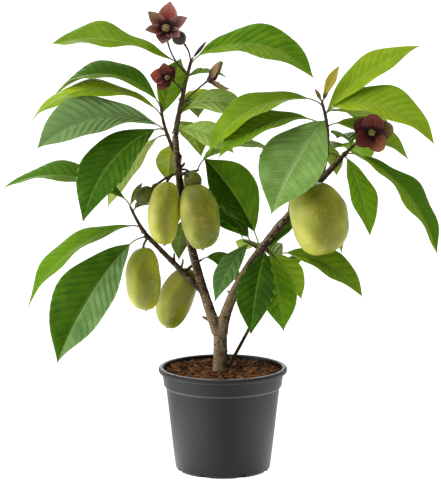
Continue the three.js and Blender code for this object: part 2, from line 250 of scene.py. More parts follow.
def shown(name, data):
    piece = bpy.data.objects.new(name, data)
    bpy.context.scene.collection.objects.link(piece)
    return piece


def settled(piece):
    """Turns an object with its modifiers into a plain mesh object of the same name."""
    graph = bpy.context.evaluated_depsgraph_get()
    source = piece.evaluated_get(graph)
    mesh = bpy.data.meshes.new_from_object(source, preserve_all_data_layers=True, depsgraph=graph)
    name = piece.name
    bpy.data.objects.remove(piece)
    return shown(name, mesh)


def smoothed(piece, crease):
    """Shades a mesh smooth, but for edges that turn more than crease, in degrees."""
    piece.data.shade_smooth()
    piece.data.set_sharp_from_angle(angle=math.radians(crease))
    return piece


def fitted(piece, slot, *nodes):
    """Hands a finished piece to the frame, in place of the part's own nodes."""
    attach(piece, BODY)
    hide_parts(*nodes)


def skin(rings, first, last):
    """Points and faces of a closed body from its rings, with a point to close each end."""
    count, sides = rings.shape[:2]
    grid = np.arange(count * sides).reshape(count, sides)
    ahead = np.roll(grid, -1, axis=1)
    walls = np.stack([grid[:-1], ahead[:-1], ahead[1:], grid[1:]], -1).reshape(-1, 4)
    low, high = count * sides, count * sides + 1
    ends = [(low, b, a) for a, b in zip(grid[0], ahead[0])]
    ends += [(high, a, b) for a, b in zip(grid[-1], ahead[-1])]
    points = np.concatenate([rings.reshape(-1, 3), [first, last]])
    return points, walls.tolist() + ends


class Heap:
    """Like parts gathered into one mesh. Each trait is a value per point for the finishes to read."""

    def __init__(self):
        self.points = []
        self.faces = []
        self.paint = []
        self.traits = {}
        self.count = 0

    def add(self, points, faces, paint=0, **traits):
        self.points.append(points)
        self.faces += [[corner + self.count for corner in face] for face in faces]
        self.paint += [paint] * len(faces)
        for name, values in traits.items():
            values = np.broadcast_to(np.asarray(values, float).ravel(), len(points))
            self.traits.setdefault(name, []).append(values)
        self.count += len(points)

    def piece(self, name, finishes, crease=NO_CREASE):
        mesh = bpy.data.meshes.new(name)
        mesh.from_pydata((np.concatenate(self.points) * MM).tolist(), [], self.faces)
        for finish in finishes:
            mesh.materials.append(finish.material)
        mesh.polygons.foreach_set("material_index", self.paint)
        for trait, values in self.traits.items():
            store = mesh.attributes.new(trait, "FLOAT", "POINT")
            store.data.foreach_set("value", np.concatenate(values).astype(np.float32))
        return smoothed(shown(name, mesh), crease)


def rounded(corners, steps=5):
    """An outline whose corners (across, up, rounding) are turned into arcs."""
    spots = np.array([corner[:2] for corner in corners], float)
    line = [spots[0]]
    for before, here, after, corner in zip(spots, spots[1:], spots[2:], corners[1:]):
        back = (before - here) / np.linalg.norm(before - here)
        ahead = (after - here) / np.linalg.norm(after - here)
        half = math.acos(back @ ahead) / 2
        middle = (back + ahead) / np.linalg.norm(back + ahead)
        centre = here + middle * corner[2] / math.sin(half)
        reach = corner[2] / math.tan(half)
        arms = here + back * reach - centre, here + ahead * reach - centre
        sweep = math.pi - 2 * half
        for share in np.linspace(0, 1, steps + 1):
            turn = math.sin((1 - share) * sweep) * arms[0] + math.sin(share * sweep) * arms[1]
            line.append(centre + turn / math.sin(sweep))
    return np.array([*line, spots[-1]])


def circle(sides):
    return np.linspace(0, 2 * math.pi, sides, endpoint=False)


def ringed(across, up, sides):
    """Level rings about the upright axis, from their radii and heights."""
    angle = circle(sides)
    across, up = across[:, None], up[:, None]
    return np.stack([across * np.cos(angle), across * np.sin(angle), up + 0 * angle], -1)


def turned(outline, sides):
    """Points and faces of an outline turned about the upright axis, where its two ends lie."""
    rings = ringed(outline[1:-1, 0], outline[1:-1, 1], sides)
    return skin(rings, (0, 0, outline[0, 1]), (0, 0, outline[-1, 1]))


plastic = Finish("charcoal_plastic", {"Specular IOR Level": 0.24})
place = plastic.place()
height = plastic.node("ShaderNodeSeparateXYZ", None, {0: place}, "Z")
flow = plastic.noise(plastic.stretched(place, (1, 1, 0.12)), 60)
scuff = plastic.band(plastic.noise(place, 45, 6), 0.56, 0.78)
dust = plastic.band(height, DUST_FROM * MM, DUST_FULL * MM)
dust = dust * plastic.band(plastic.noise(place, 260, 5), 0.5, 0.72)
worn = plastic.blend(0.35 * flow + 0.3 * scuff, tint(CHARCOAL), tint(CHARCOAL_WORN))
# Painted highlight lines at those edges.
for level, reach in EDGE_HIGHLIGHTS:
    off = plastic.node("ShaderNodeMath", {"operation": "ABSOLUTE"}, {0: height - level * MM})
    edge_highlight = 1 - plastic.band(off, 0.3 * reach * MM, reach * MM)
    worn = plastic.blend(0.3 * edge_highlight, worn, tint(CHARCOAL_HIGHLIGHT))
plastic.feed("Base Color", plastic.blend(0.3 * dust, worn, tint(POT_DUST)))
plastic.feed("Roughness", 0.38 + 0.06 * flow + 0.06 * scuff + 0.2 * dust)
plastic.bump(plastic.noise(place, 1400, 2) + 0.6 * flow, 0.00006)

pot_heap = Heap()
pot_heap.add(*turned(rounded(POT_CORNERS), POT_SIDES))
pot = pot_heap.piece("nursery_pot", [plastic])

drains = Growth(
    "drain_slots",
    {"Count": "Int", "Ring": "Float", "Slot": "Vector", "First": "Vector", "Finish": "Material"},
)
ring = drains.node(
    "GeometryNodeMeshCircle",
    None,
    {"Vertices": drains.given("Count"), "Radius": drains.given("Ring")},
)
ring = drains.node("GeometryNodeTransform", None, {0: ring, "Rotation": drains.given("First")})
outwards = drains.facing("X", drains.node("GeometryNodeInputPosition"))
slot_block = drains.node("GeometryNodeMeshCube", None, {"Size": drains.given("Slot")})
drains.ends_in(drains.set_out(ring, slot_block, outwards))
slots = drains.grow(
    shown("drain_slots", bpy.data.meshes.new("drain_slots")),
    {
        "Count": DRAIN_COUNT,
        "Ring": DRAIN_RING * MM,
        "Slot": [side * MM for side in DRAIN_SIZE],
        "First": (0, 0, DRAIN_FIRST),
        "Finish": plastic.material,
    },
)
cut = pot.modifiers.new("drains", "BOOLEAN")
cut.object = slots
cut.solver = "EXACT"
pot = smoothed(settled(pot), POT_CREASE)
bpy.data.objects.remove(slots)
fitted(pot, "pot", "pot")


# Potting mix
# Composted bark and coir, filled almost to the lip and sunk a little round the trunk: a rough bed with
# loose bark crumbs, darker crumbs and pale coir fibres lying on it.
SOIL_RIM = 163
SOIL_LEVEL = 159.5
SOIL_DISH = 34
SOIL_EDGE = 96.8
SOIL_FLOOR = 4.3
SOIL_SIDES = 96
SOIL_SIDE = [
    # radius, height
    (75, SOIL_FLOOR),
    (90.2, COLLAR_BASE),
    (93.6, COLLAR_STEP),
]
SOIL_STEP = 2.4
SOIL_INNERMOST = 3
BED_LUMPS = 1.8
CRUMB_EDGE = 88
CRUMB_INNERMOST = 8
CRUMB_LUMPS = 2.2
CRUMB_TILT = 0.5
CRUMB_SPIN = 6.3
CRUMB_SMALLEST = 0.4
CRUMB_LARGEST = 1.8
CRUMB_CREASE = 50
SOIL_BROWN = "#4a2f1c"
SOIL_DARK = "#1c100a"
CRUMBS = {
    # colour, darker colour, size, shape, number per square metre, seed
    "bark_crumbs": ("#8e5a32", "#4a2a16", 3.4, (1.5, 0.9, 0.6), 46000, 3),
    "dark_crumbs": ("#2e1a0e", "#150b06", 2.8, (1.1, 0.9, 0.7), 60000, 5),
    "coir_fibres": ("#a5794f", "#6a452a", 3.4, (2.6, 0.22, 0.2), 17000, 8),
}


def soil_top(across):
    share = np.clip((across - SOIL_DISH) / (SOIL_EDGE - SOIL_DISH), 0, 1)
    return SOIL_LEVEL + (SOIL_RIM - SOIL_LEVEL) * share


def rough_bed(points, deep):
    """Lumps on what lies on top, in millimetres."""
    for point in points:
        if point[2] > SOIL_LEVEL - 1:
            spot = Vector(point)
            point[2] += deep * (noise.noise(spot * 0.09) + 0.7 * noise.noise(spot * 0.3))
    return points


mix = Finish("potting_mix", {"Roughness": 0.95, "Specular IOR Level": 0.1})
place = mix.place()
grain = mix.noise(place, 420, 6)
mix.feed("Base Color", mix.blend(mix.band(grain, 0.35, 0.65), tint(SOIL_DARK), tint(SOIL_BROWN)))
mix.bump(grain, 0.002)

inward = np.arange(SOIL_EDGE, SOIL_INNERMOST, -SOIL_STEP)
bed_line = [(0, SOIL_FLOOR), *SOIL_SIDE, *zip(inward, soil_top(inward)), (0, SOIL_LEVEL)]
bed_heap = Heap()
bed_points, bed_faces = turned(np.array(bed_line, float), SOIL_SIDES)
bed_heap.add(rough_bed(bed_points, BED_LUMPS), bed_faces)
bed = bed_heap.piece("potting_mix", [mix])
fitted(bed, "soil", "soil")

scatter = Growth(
    "loose_crumbs",
    {
        "Size": "Float",
        "Shape": "Vector",
        "Density": "Float",
        "Seed": "Int",
        "Lumps": "Float",
        "Finish": "Material",
    },
)
spots = scatter.node(
    "GeometryNodeDistributePointsOnFaces",
    None,
    {0: scatter.given(), "Density": scatter.given("Density"), "Seed": scatter.given("Seed")},
)
turns = scatter.drawn((-CRUMB_TILT, -CRUMB_TILT, 0), (CRUMB_TILT, CRUMB_TILT, CRUMB_SPIN))
turns = scatter.node("FunctionNodeEulerToRotation", None, {0: turns})
spread = scatter.drawn([CRUMB_SMALLEST] * 3, [CRUMB_LARGEST] * 3)
spread = scatter.stretched(spread, scatter.given("Shape"))
crumb = scatter.node(
    "GeometryNodeMeshIcoSphere",
    None,
    {"Radius": scatter.given("Size"), "Subdivisions": 2},
)
laid = scatter.set_out(spots, crumb, turns, spread)
laid = scatter.node("GeometryNodeRealizeInstances", None, {0: laid})
lumps = scatter.noise(scatter.node("GeometryNodeInputPosition"), 330, 2, "Color")
lumps = scatter.vector("SUBTRACT", lumps, (0.5, 0.5, 0.5))
lumps = scatter.scaled(lumps, scatter.given("Lumps"))
scatter.ends_in(scatter.node("GeometryNodeSetPosition", None, {0: laid, "Offset": lumps}))

inward = np.arange(CRUMB_EDGE, CRUMB_INNERMOST, -SOIL_STEP)
rings = ringed(inward, soil_top(inward), SOIL_SIDES)
top_points, top_faces = skin(rings, (0, 0, SOIL_LEVEL), (0, 0, SOIL_LEVEL))
top_points = rough_bed(top_points, BED_LUMPS)
top_faces = [face for face in top_faces if len(face) == 4]
for name, (light, dark, size, shape, density, seed) in CRUMBS.items():
    crumb_finish = Finish(name, {"Roughness": 0.9, "Specular IOR Level": 0.1})
    place = crumb_finish.place()
    patch = crumb_finish.band(crumb_finish.noise(place, 55, 5), 0.4, 0.62)
    crumb_finish.feed("Base Color", crumb_finish.blend(patch, tint(dark), tint(light)))
    crumb_finish.bump(crumb_finish.noise(place, 900, 3), 0.0006)
    top_heap = Heap()
    top_heap.add(top_points, top_faces)
    sizes = {
        "Size": size * MM,
        "Shape": shape,
        "Density": float(density),
        "Seed": seed,
        "Lumps": CRUMB_LUMPS * MM,
        "Finish": crumb_finish.material,
    }
    crumbs = scatter.grow(top_heap.piece(name, [crumb_finish]), sizes)
    fitted(smoothed(crumbs, CRUMB_CREASE), "soil", "soil")


# Trunk and boughs
# Young pawpaw wood under thin grey-brown bark: a short trunk that forks, a bough that forks again, and the
# snags and collars where twigs have dropped or still grow. They have grown together, so they are one piece.
# The bark is painted paler on the side facing the low lamp on the left, with a pale painted highlight where
# it faces it most, and painted shade on the far side.
UP = np.array([0.0, 0.0, 1.0])
GROUND = 159.8
ROOT_DEPTH = 9
ROOT_FLARE = 0.55
ROOT_SHARE = 0.1
FORK_FLARE = 0.3
FORK_SHARE = 0.06
LIMBS = {
    # start, heading, rise, droop, length, ease, radius, tip radius
    "trunk": ((-4, 0, GROUND - ROOT_DEPTH), 180, 90, 1, 82 + ROOT_DEPTH, 1, 11.8, 10.8),
    "left_bough": ((-8, 0, 226), 178, 69, -18, 332, 1, 8.2, 5.2),
    "right_bough": ((-3, 0, 224), 354, 81, 33, 357, 3, 8.8, 4.6),
    "lower_left_bough": ((-26, 0, 286), 184, 45, -2, 145, 1, 5.2, 3.6),
    "sucker": ((2, 26, GROUND - ROOT_DEPTH), 8, 60, -4, 150 + ROOT_DEPTH, 1, 3.1, 2.4),
}
SHOOT = "sucker"
SNAGS = [
    # limb, share of its length, heading, rise, droop, length, radius
    ("left_bough", 0.05, 182, 24, -10, 23, 3.2),
    ("right_bough", 0.13, 8, 36, -8, 27, 2.3),
    ("right_bough", 0.19, 176, 30, 0, 13, 2.2),
    ("left_bough", 0.83, 2, 20, -50, 16, 3.0),
    ("left_bough", 0.86, 350, 60, 0, 15, 2.4),
    ("lower_left_bough", 0.52, 96, 84, 0, 18, 2.3),
    ("lower_left_bough", 0.42, 24, 62, -30, 20, 2.2),
    ("left_bough", 0.4, 200, 40, 0, 11, 2.2),
    ("right_bough", 0.56, 300, 30, 0, 12, 2.4),
    ("trunk", 0.62, 250, 20, 0, 16, 2.6),
    ("right_bough", 0.97, 174, 84, 140, 34, 1.4),
]
SNAG_TAPER = 0.7
STEMS = {
    # of each spray of twigs: limb, share of its length, heading, rise, droop, length, radius
    "crown_spray": ("left_bough", 1, 4, 80, 5, 124, 4.4),
    "upper_left_spray": ("left_bough", 0.9, 186, 60, -26, 88, 3.4),
    "fruit_cluster": ("left_bough", 0.82, 268, 8, 30, 24, 4.4),
    "centre_spray": ("left_bough", 0.8, 24, 14, 10, 36, 3),
    "lower_left_spray": ("lower_left_bough", 1, 176, 58, -8, 50, 3.4),
    "left_fruit_spur": ("lower_left_bough", 0.86, 206, 44, 30, 20, 3),
    "low_centre_spray": ("lower_left_bough", 0.36, 42, 40, 30, 44, 3),
    "right_centre_spray": ("right_bough", 0.46, 322, -62, -44, 30, 3.2),
    "inner_right_spray": ("right_bough", 0.43, 172, 34, 10, 32, 2.8),
    "right_fruit_spur": ("right_bough", 0.81, 243, 40, 40, 46, 4),
    "upright_spray": ("right_bough", 0.84, 2, 68, -41, 132, 4),
    "right_tip_spray": ("right_bough", 1, 352, 48, 8, 26, 3.6),
    "sucker_spray": ("sucker", 1, 30, 60, 10, 46, 2.5),
    "back_left_spray": ("left_bough", 0.55, 112, 40, 10, 92, 3.4),
    "back_right_spray": ("right_bough", 0.64, 84, 40, 10, 108, 3.4),
}
COLLAR_LENGTH = 9
COLLAR_SPREAD = 1.45
VOXEL = 0.95
HEALING = 5
RIDGE_HEIGHT = 1.6
WART_HEIGHT = 0.7
# Direction of the low lamp on the left, for the painted light and shade of the bark.
LIT_SIDE = (-0.87, -0.4, 0.3)
OLD_BARK_TOP = 210
YOUNG_BARK_FROM = 360
BARK_PALE = "#74634a"
BARK_YOUNG = "#4c3b2c"
BARK_MID = "#2c2017"
BARK_DARK = "#1a1109"
LENTICEL_AND_HIGHLIGHT = "#a89678"


class Bend:
    """A line in an upright plane that turns down from `rise` above level to `rise - droop` at its end."""

    STEPS = 64

    def __init__(self, start, heading, rise, droop, length, ease=1):
        self.start = np.asarray(start, float)
        self.level = np.array([math.cos(math.radians(heading)), math.sin(math.radians(heading)), 0])
        self.rise = rise
        self.droop = droop
        self.length = length
        self.ease = ease
        self.marks = np.linspace(0, 1, self.STEPS + 1)
        lean = self.slope((self.marks[1:] + self.marks[:-1]) / 2)
        step = length / self.STEPS
        self.runs = np.concatenate([[0], np.cumsum(np.cos(lean))]) * step
        self.climbs = np.concatenate([[0], np.cumsum(np.sin(lean))]) * step

    def slope(self, share):
        return np.radians(self.rise - self.droop * (1 - np.maximum(0, 1 - share) ** self.ease))

    def at(self, share):
        """Place, direction, upper normal and side at a share, or an array of shares, of the length."""
        share = np.asarray(share, float)
        lean = self.slope(share)[..., None]
        run = np.interp(share, self.marks, self.runs)[..., None]
        climb = np.interp(share, self.marks, self.climbs)[..., None]
        along = np.cos(lean) * self.level + np.sin(lean) * UP
        upper = np.cos(lean) * UP - np.sin(lean) * self.level
        return self.start + run * self.level + climb * UP, along, upper, np.cross(along, upper)


def spokes(turn, upper, side):
    """Arms of length one across a line, each turned from its upper normal towards its side."""
    return np.cos(turn)[..., None] * upper + np.sin(turn)[..., None] * side


def rod(bend, radius, tip, sides=20, step=2.5, swell=None):
    """A round tapering rod along a bend, with a domed tip."""
    shares = np.linspace(0, 1, int(bend.length / step) + 3)
    point, _, upper, side = bend.at(shares)
    wide = radius + (tip - radius) * shares
    dome = np.clip((shares - 1 + tip / bend.length) / (tip / bend.length), 0, 0.98)
    wide = wide * np.sqrt(1 - dome**2)
    turn = circle(sides)
    if swell is not None:
        wide = wide[:, None] * swell(shares[:, None], turn)
    else:
        wide = np.repeat(wide[:, None], sides, 1)
    arms = spokes(turn, upper[:, None], side[:, None])
    return skin(point[:, None] + wide[..., None] * arms, point[0], point[-1])


def root_flare(share, turn):
    """How far the trunk's foot widens, in lobes where the roots leave it."""
    lobes = 1 + 0.35 * np.cos(3 * turn + 0.6) + 0.2 * np.cos(5 * turn)
    return 1 + ROOT_FLARE * np.exp(-share / ROOT_SHARE) * lobes


def fork_flare(share, turn):
    """How far a bough widens where it leaves the wood below."""
    return 1 + FORK_FLARE * np.exp(-share / FORK_SHARE) + 0 * turn


bark = Finish("bark", {"Specular IOR Level": 0.1})
place = bark.place()
height = bark.node("ShaderNodeSeparateXYZ", None, {0: place}, "Z")
patch = bark.noise(bark.stretched(place, (1, 1, 0.7)), 110, 5)
fleck = bark.noise(bark.stretched(place, (1, 1, 2.4)), 240, 3)
crack = bark.noise(bark.stretched(place, (1, 1, 2)), 130, 5)
aged = 1 - bark.band(height, OLD_BARK_TOP * MM, YOUNG_BARK_FROM * MM)
# Painted light: paler bark and a pale painted highlight on the side facing the low lamp on the left.
lit_side = bark.trait("lit_side")
pale = bark.blend(aged, tint(BARK_YOUNG), tint(BARK_PALE))
body = bark.blend(bark.band(patch + 0.15 * aged + 0.2 * lit_side, 0.42, 0.74), tint(BARK_MID), pale)
body = bark.blend(0.55 * bark.band(lit_side + 0.3 * patch, 0.75, 1.1), body, tint(LENTICEL_AND_HIGHLIGHT))
# Pale lenticel flecks, the bark's own.
body = bark.blend(0.6 * bark.band(fleck, 0.58, 0.7), body, tint(LENTICEL_AND_HIGHLIGHT))
sunken = bark.band(crack + 0.35 * bark.trait("relief"), 0.54, 0.72)
# Painted shade on the side away from the lamp.
body = bark.blend(0.6 * bark.band(-1 * lit_side, -0.2, 0.7), body, tint(BARK_DARK))
bark.feed("Base Color", bark.blend(0.85 * sunken, body, tint(BARK_DARK)))
bark.feed("Roughness", 0.72 + 0.2 * patch)
bark.bump(fleck - crack, 0.0009)

limbs = {}
wood_heap = Heap()
for name, (start, heading, rise, droop, length, ease, radius, tip) in LIMBS.items():
    limbs[name] = Bend(start, heading, rise, droop, length, ease)
    if name != SHOOT:
        flare = root_flare if name == "trunk" else fork_flare
        wood_heap.add(*rod(limbs[name], radius, tip, swell=flare))
for limb, share, heading, rise, droop, length, radius in SNAGS:
    snag = Bend(limbs[limb].at(share)[0], heading, rise, droop, length)
    wood_heap.add(*rod(snag, radius, SNAG_TAPER * radius, sides=10, step=2))
stems = {}
for name, (limb, share, heading, rise, droop, length, radius) in STEMS.items():
    stems[name] = Bend(limbs[limb].at(share)[0], heading, rise, droop, length)
    collar = Bend(stems[name].start, heading, rise, 0, COLLAR_LENGTH)
    wood_heap.add(*rod(collar, COLLAR_SPREAD * radius, radius, sides=14, step=1.5))

wood = wood_heap.piece("trunk_and_boughs", [bark])
merge = wood.modifiers.new("grown_together", "REMESH")
merge.mode = "VOXEL"
merge.voxel_size = VOXEL * MM
ease = wood.modifiers.new("healed_over", "SMOOTH")
ease.factor = 0.5
ease.iterations = HEALING
wood = settled(wood)

rind = Growth("bark_relief", {"Ridges": "Float", "Warts": "Float", "Finish": "Material"})
spot = rind.node("GeometryNodeInputPosition")
ridges = rind.noise(rind.stretched(spot, (1, 1, 1.3)), 220, 4)
warts = rind.band(rind.noise(rind.stretched(spot, (1, 1, 1.6)), 240, 2), 0.6, 0.74)
raised = (ridges - 0.5) * rind.given("Ridges") + warts * rind.given("Warts")
outward = rind.node("GeometryNodeInputNormal")
push = rind.scaled(outward, raised)
rough = rind.node("GeometryNodeSetPosition", None, {0: rind.given(), "Offset": push})
rough = rind.marked(rough, "relief", 0.5 - ridges)
# How far each spot faces the low lamp on the left, for the painted light and shade of the bark.
lit_facing = rind.vector("DOT_PRODUCT", outward, LIT_SIDE, "Value")
rind.ends_in(rind.marked(rough, "lit_side", lit_facing))
sizes = {"Ridges": RIDGE_HEIGHT * MM, "Warts": WART_HEIGHT * MM, "Finish": bark.material}
wood = rind.grow(wood, sizes)
fitted(smoothed(wood, NO_CREASE), "bark", *[name for name in LIMBS if name != SHOOT])


# Twigs
# This year's and last year's shoots, brown and slim, and a sucker from the root. Each leaves its collar on
# a bough and swells where leaves, fruit and flowers grow from it, and their stalks go with it.
TOPMOST = 0.98
STEM_TAPER = 0.52
STEM_CLOSING = (0.95, 0.8, 0.45)
STEM_STEP = 1.5
FEWEST_STEPS = 12
SHOOT_STEPS = 60
NODE_SWELL = 0.16
NODE_SPAN = 3.0
STALK_RADIUS = 1.7
STALK_STEPS = 24
STALK_STOUTNESS = {"fruits": 1.15, "flowers": 0.8, "buds": 0.8}
STALK_FOOT = 0.07
STALK_FOOT_SWELL = 0.5
STALK_HEAD = 0.12
STALK_HEAD_SWELL = 0.55
TWIG_SIDES = 12
TWIG_CREASE = 60
TWIG_BROWN = "#3f2d20"
TWIG_DARK = "#1b120c"
TWIG_GREEN = "#4d4a22"
# What the stem of each spray carries.
#   leaves   tint, or tints of the left and right half, at, heading, slope, droop, length, roll, and then
#            where it isn't the usual one: width share, leaf stalk, wave, fold, peak
#   fruits   at, heading, rise, droop, stalk, length, width, ripeness
#   flowers  at, heading, rise, droop, stalk, petal, heading and rise of the open face, form
#   buds     at, heading, rise, droop, stalk, length, width
#   far      leaves on the far side
# A leaf's tints partly stand for light: a lighter and a darker half are painted light and shade across the
# fold, and some leaves in cast shadow are given lighter tints.
SPRAYS = {
    "crown_spray": {
        "leaves": [
            ("bright fresh", 0.8, 172, 8, 43, 214, -22, 0.42, 28, 4, 24, 1.8),
            ("mid fresh", 0.9, 350, -10, 80, 207, 28, 0.48, 28),
            ("mid", 0.75, 38, -4, 40, 80, 10),
            ("pale", 0.22, 14, -8, 62, 106, 58, 0.46, 28),
            ("lime", 0.22, 48, 10, 50, 112, 20),
            ("pale", 0.03, 354, -24, 50, 98, 54, 0.5, 14),
        ],
        "flowers": [
            (0.8, 184, 41, -48, 83, 41, 268, 32, "cup"),
            (0.57, 200, 52, 18, 34, 29, 244, 16, "half_open"),
            (0.39, 356, 46, 8, 60, 40, 350, 18, "bell"),
        ],
        "buds": [(0.95, 180, 95, 44, 34, 27, 24), (1, 10, 56, 6, 5, 34, 6)],
        "far": [
            ("mid", 0.35, 36, -13, 40, 163, -7),
            ("dark", 0.4, 75, -20, 40, 110, 4),
            ("fresh", 0.15, 68, -36, 40, 120, -4),
        ],
    },
    "upper_left_spray": {
        "leaves": [
            ("fresh mid", 0.88, 163, -1, 95, 200, -15, 0.44, 24),
            ("bright lime", 0.66, 178, -5, 90, 224, -16, 0.33, 28, 3, 12, 1.3),
            ("grey", 0.42, 196, -9, 64, 212, -44, 0.45, 26, 3, 32, 1.4),
            ("dark", 0.5, 216, -45, 60, 206, -32, 0.43, 26),
            ("pale", 0.4, 149, -52, 30, 158, 28, 0.32, 26),
            ("fresh", 0.78, 56, 58, 16, 100, 30, 0.5),
            ("lime", 0.2, 98, -56, 40, 84, 0, 0.56, 8),
        ],
    },
    "fruit_cluster": {
        "fruits": [
            (0.95, 200, 5, 91, 27, 101, 52, 0.95),
            (0.95, 335, 15, 95, 40, 104, 63, 0.45),
            (0.8, 186, -18, 26, 52, 33, 25, 0),
            (0.7, 350, 58, 130, 26, 30, 29, 0.1),
        ],
    },
    "centre_spray": {
        "leaves": [("pale", 0.95, 20, 3, 70, 134, 14, 0.42, 22)],
    },
    "lower_left_spray": {
        "leaves": [
            ("mid", 0.2, 190, -37, 56, 222, -12, 0.38, 20),
            ("fresh mid", 0.94, 170, 4, 60, 212, -14),
            ("olive", 1, 20, 60, 10, 42, 70, 0.3),
        ],
        "far": [("mid", 0.8, 60, -12, 40, 130, 2)],
    },
    "left_fruit_spur": {
        "leaves": [("grey dark", 0.9, 213, -53, 26, 229, -36, 0.52, 34, 3, 34)],
        "fruits": [(0.6, 222, -34, 58, 22, 102, 57, 0.8)],
    },
    "low_centre_spray": {
        "leaves": [("mid", 0.95, 46, -36, 52, 108, 62, 0.42, 18)],
        "fruits": [(0.8, 165, -20, 48, 25, 104, 57, 0.6)],
    },
    "right_centre_spray": {
        "leaves": [
            ("deep", 0.3, 252, -58, 34, 146, -4, 0.46),
            ("mid", 0.4, 294, -66, 24, 130, 16, 0.46, 13, 1.5, 8),
            ("fresh", 0.55, 10, -58, 30, 92, 60, 0.54),
            ("fresh", 0.9, 346, -28, 52, 149, 26, 0.46, 26),
            ("mid", 0.5, 44, 34, 36, 92, 10),
        ],
    },
    "inner_right_spray": {
        "leaves": [
            ("deep mid", 0.02, 156, 52, 24, 148, -46, 0.64, 36, 2, 36),
            ("dark", 0.6, 136, 28, 30, 124, -50, 0.42, 16, 1.5, 10),
            ("mid", 1, 140, 26, 30, 62, 0, 0.42, 10),
            ("grey", 0.6, 226, -48, 36, 116, -24, 0.36),
        ],
    },
    "right_fruit_spur": {
        "fruits": [(0.95, 350, 0, 77, 14, 116, 92, 0.7)],
    },
    "upright_spray": {
        "leaves": [
            ("bright fresh", 0.96, 195, -27, 67, 198, -18, 0.42, 32),
            ("fresh", 0.66, 202, -20, 60, 176, -24, 0.37, 42),
            ("silver", 0.78, 226, -48, 26, 188, -28, 0.62, 8),
            ("fresh", 0.49, 62, -60, 20, 64, 0, 0.5),
            ("bright", 0.84, 8, 34, 30, 184, 30, 0.38, 14, 1.5),
            ("fresh bright", 0.86, 342, -18, 70, 188, 30, 0.48, 22, 3, 30, 0.84),
            ("fresh", 0.7, 20, -27, 44, 148, 40, 0.4, 22),
            ("ochre", 1, 4, 64, 12, 58, 70, 0.3, 14),
            ("bud", 1, 178, 62, 8, 26, -70, 0.28),
        ],
        "buds": [(1, 30, 72, 6, 6, 24, 8)],
        "far": [
            ("mid", 0.35, 64, -14, 40, 178, -2),
            ("dark", 0.6, 150, -34, 40, 140, 0),
            ("fresh", 0.86, 45, -22, 40, 160, -7),
        ],
    },
    "right_tip_spray": {
        "leaves": [
            ("mid bright", 0.2, 344, -51, 46, 206, 16, 0.38, 32, 4),
            ("mid", 0.06, 304, -62, 24, 136, 0),
        ],
        "flowers": [(0.95, 340, 42, 10, 37, 34.5, 268, 10, "saucer")],
        "far": [("mid", 0.8, 100, -2, 40, 110, 4)],
    },
    "sucker_spray": {
        "leaves": [("lime", 0.3, 196, -26, 40, 92, -10)],
        "far": [
            ("mid", 0.35, 86, -16, 40, 163, 4),
            ("dark", 0.68, 83, -14, 40, 187, -5),
            ("fresh", 1, 112, -5, 40, 182, 7),
        ],
    },
    "back_left_spray": {
        "leaves": [("dark", 0.16, 104, -64, 20, 82, 0, 0.42, 8)],
        "far": [
            ("mid", 0.35, 45, -15, 40, 168, 2),
            ("dark", 0.57, 68, -11, 40, 158, 2),
            ("fresh", 0.78, 92, -16, 40, 182, -6),
            ("mid", 0.95, 96, -48, 40, 140, 1),
        ],
    },
    "back_right_spray": {
        "far": [
            ("mid", 0.35, 40, -45, 40, 150, -5),
            ("dark", 0.57, 66, -30, 40, 150, -3),
            ("fresh", 0.78, 99, -10, 40, 156, 1),
            ("mid", 1, 103, -8, 40, 165, -6),
        ],
    },
}


def leaf_rows(spray):
    return spray.get("leaves", []) + spray.get("far", [])


def stalk_of(name, at, heading, rise, droop, length):
    """The bend of a stalk that leaves a spray's stem at a share of its length."""
    return Bend(stems[name].at(at * TOPMOST)[0], heading, rise, droop, length)


class Lines:
    """Paths with a radius at each point, drawn out to round rods by Geometry Nodes."""

    def __init__(self):
        self.paths = []

    def add(self, points, radii):
        self.paths.append((points * MM, radii * MM))

    def piece(self, name, finish):
        curve = bpy.data.curves.new(name, "CURVE")
        curve.dimensions = "3D"
        for points, radii in self.paths:
            spline = curve.splines.new("POLY")
            spline.points.add(len(points) - 1)
            spline.points.foreach_set("co", np.column_stack([points, np.ones(len(points))]).ravel())
            spline.points.foreach_set("radius", radii)
        sizes = {"Sides": TWIG_SIDES, "Finish": finish.material}
        return smoothed(drawn_out.grow(shown(name, curve), sizes), TWIG_CREASE)


drawn_out = Growth("drawn_out", {"Sides": "Int", "Finish": "Material"})
share = drawn_out.node("GeometryNodeSplineParameter", out="Factor")
line = drawn_out.marked(drawn_out.given(), "along", share)
section = drawn_out.node(
    "GeometryNodeCurvePrimitiveCircle",
    None,
    {"Resolution": drawn_out.given("Sides"), "Radius": 1.0},
)
rods = drawn_out.node(
    "GeometryNodeCurveToMesh",
    None,
    {
        "Curve": line,
        "Profile Curve": section,
        "Scale": drawn_out.node("GeometryNodeInputRadius"),
        "Fill Caps": True,
    },
)
drawn_out.ends_in(rods)

twig_bark = Finish("twig_bark", {"Specular IOR Level": 0.15})
place = twig_bark.place()
fleck = twig_bark.noise(place, 500, 4)
patch = twig_bark.noise(place, 45, 3)
young = twig_bark.blend(twig_bark.band(patch, 0.48, 0.66), tint(TWIG_BROWN), tint(TWIG_GREEN))
twig_bark.feed("Base Color", twig_bark.blend(twig_bark.band(fleck, 0.5, 0.7), young, tint(TWIG_DARK)))
twig_bark.feed("Roughness", 0.55 + 0.3 * fleck)
twig_bark.bump(fleck, 0.0006)

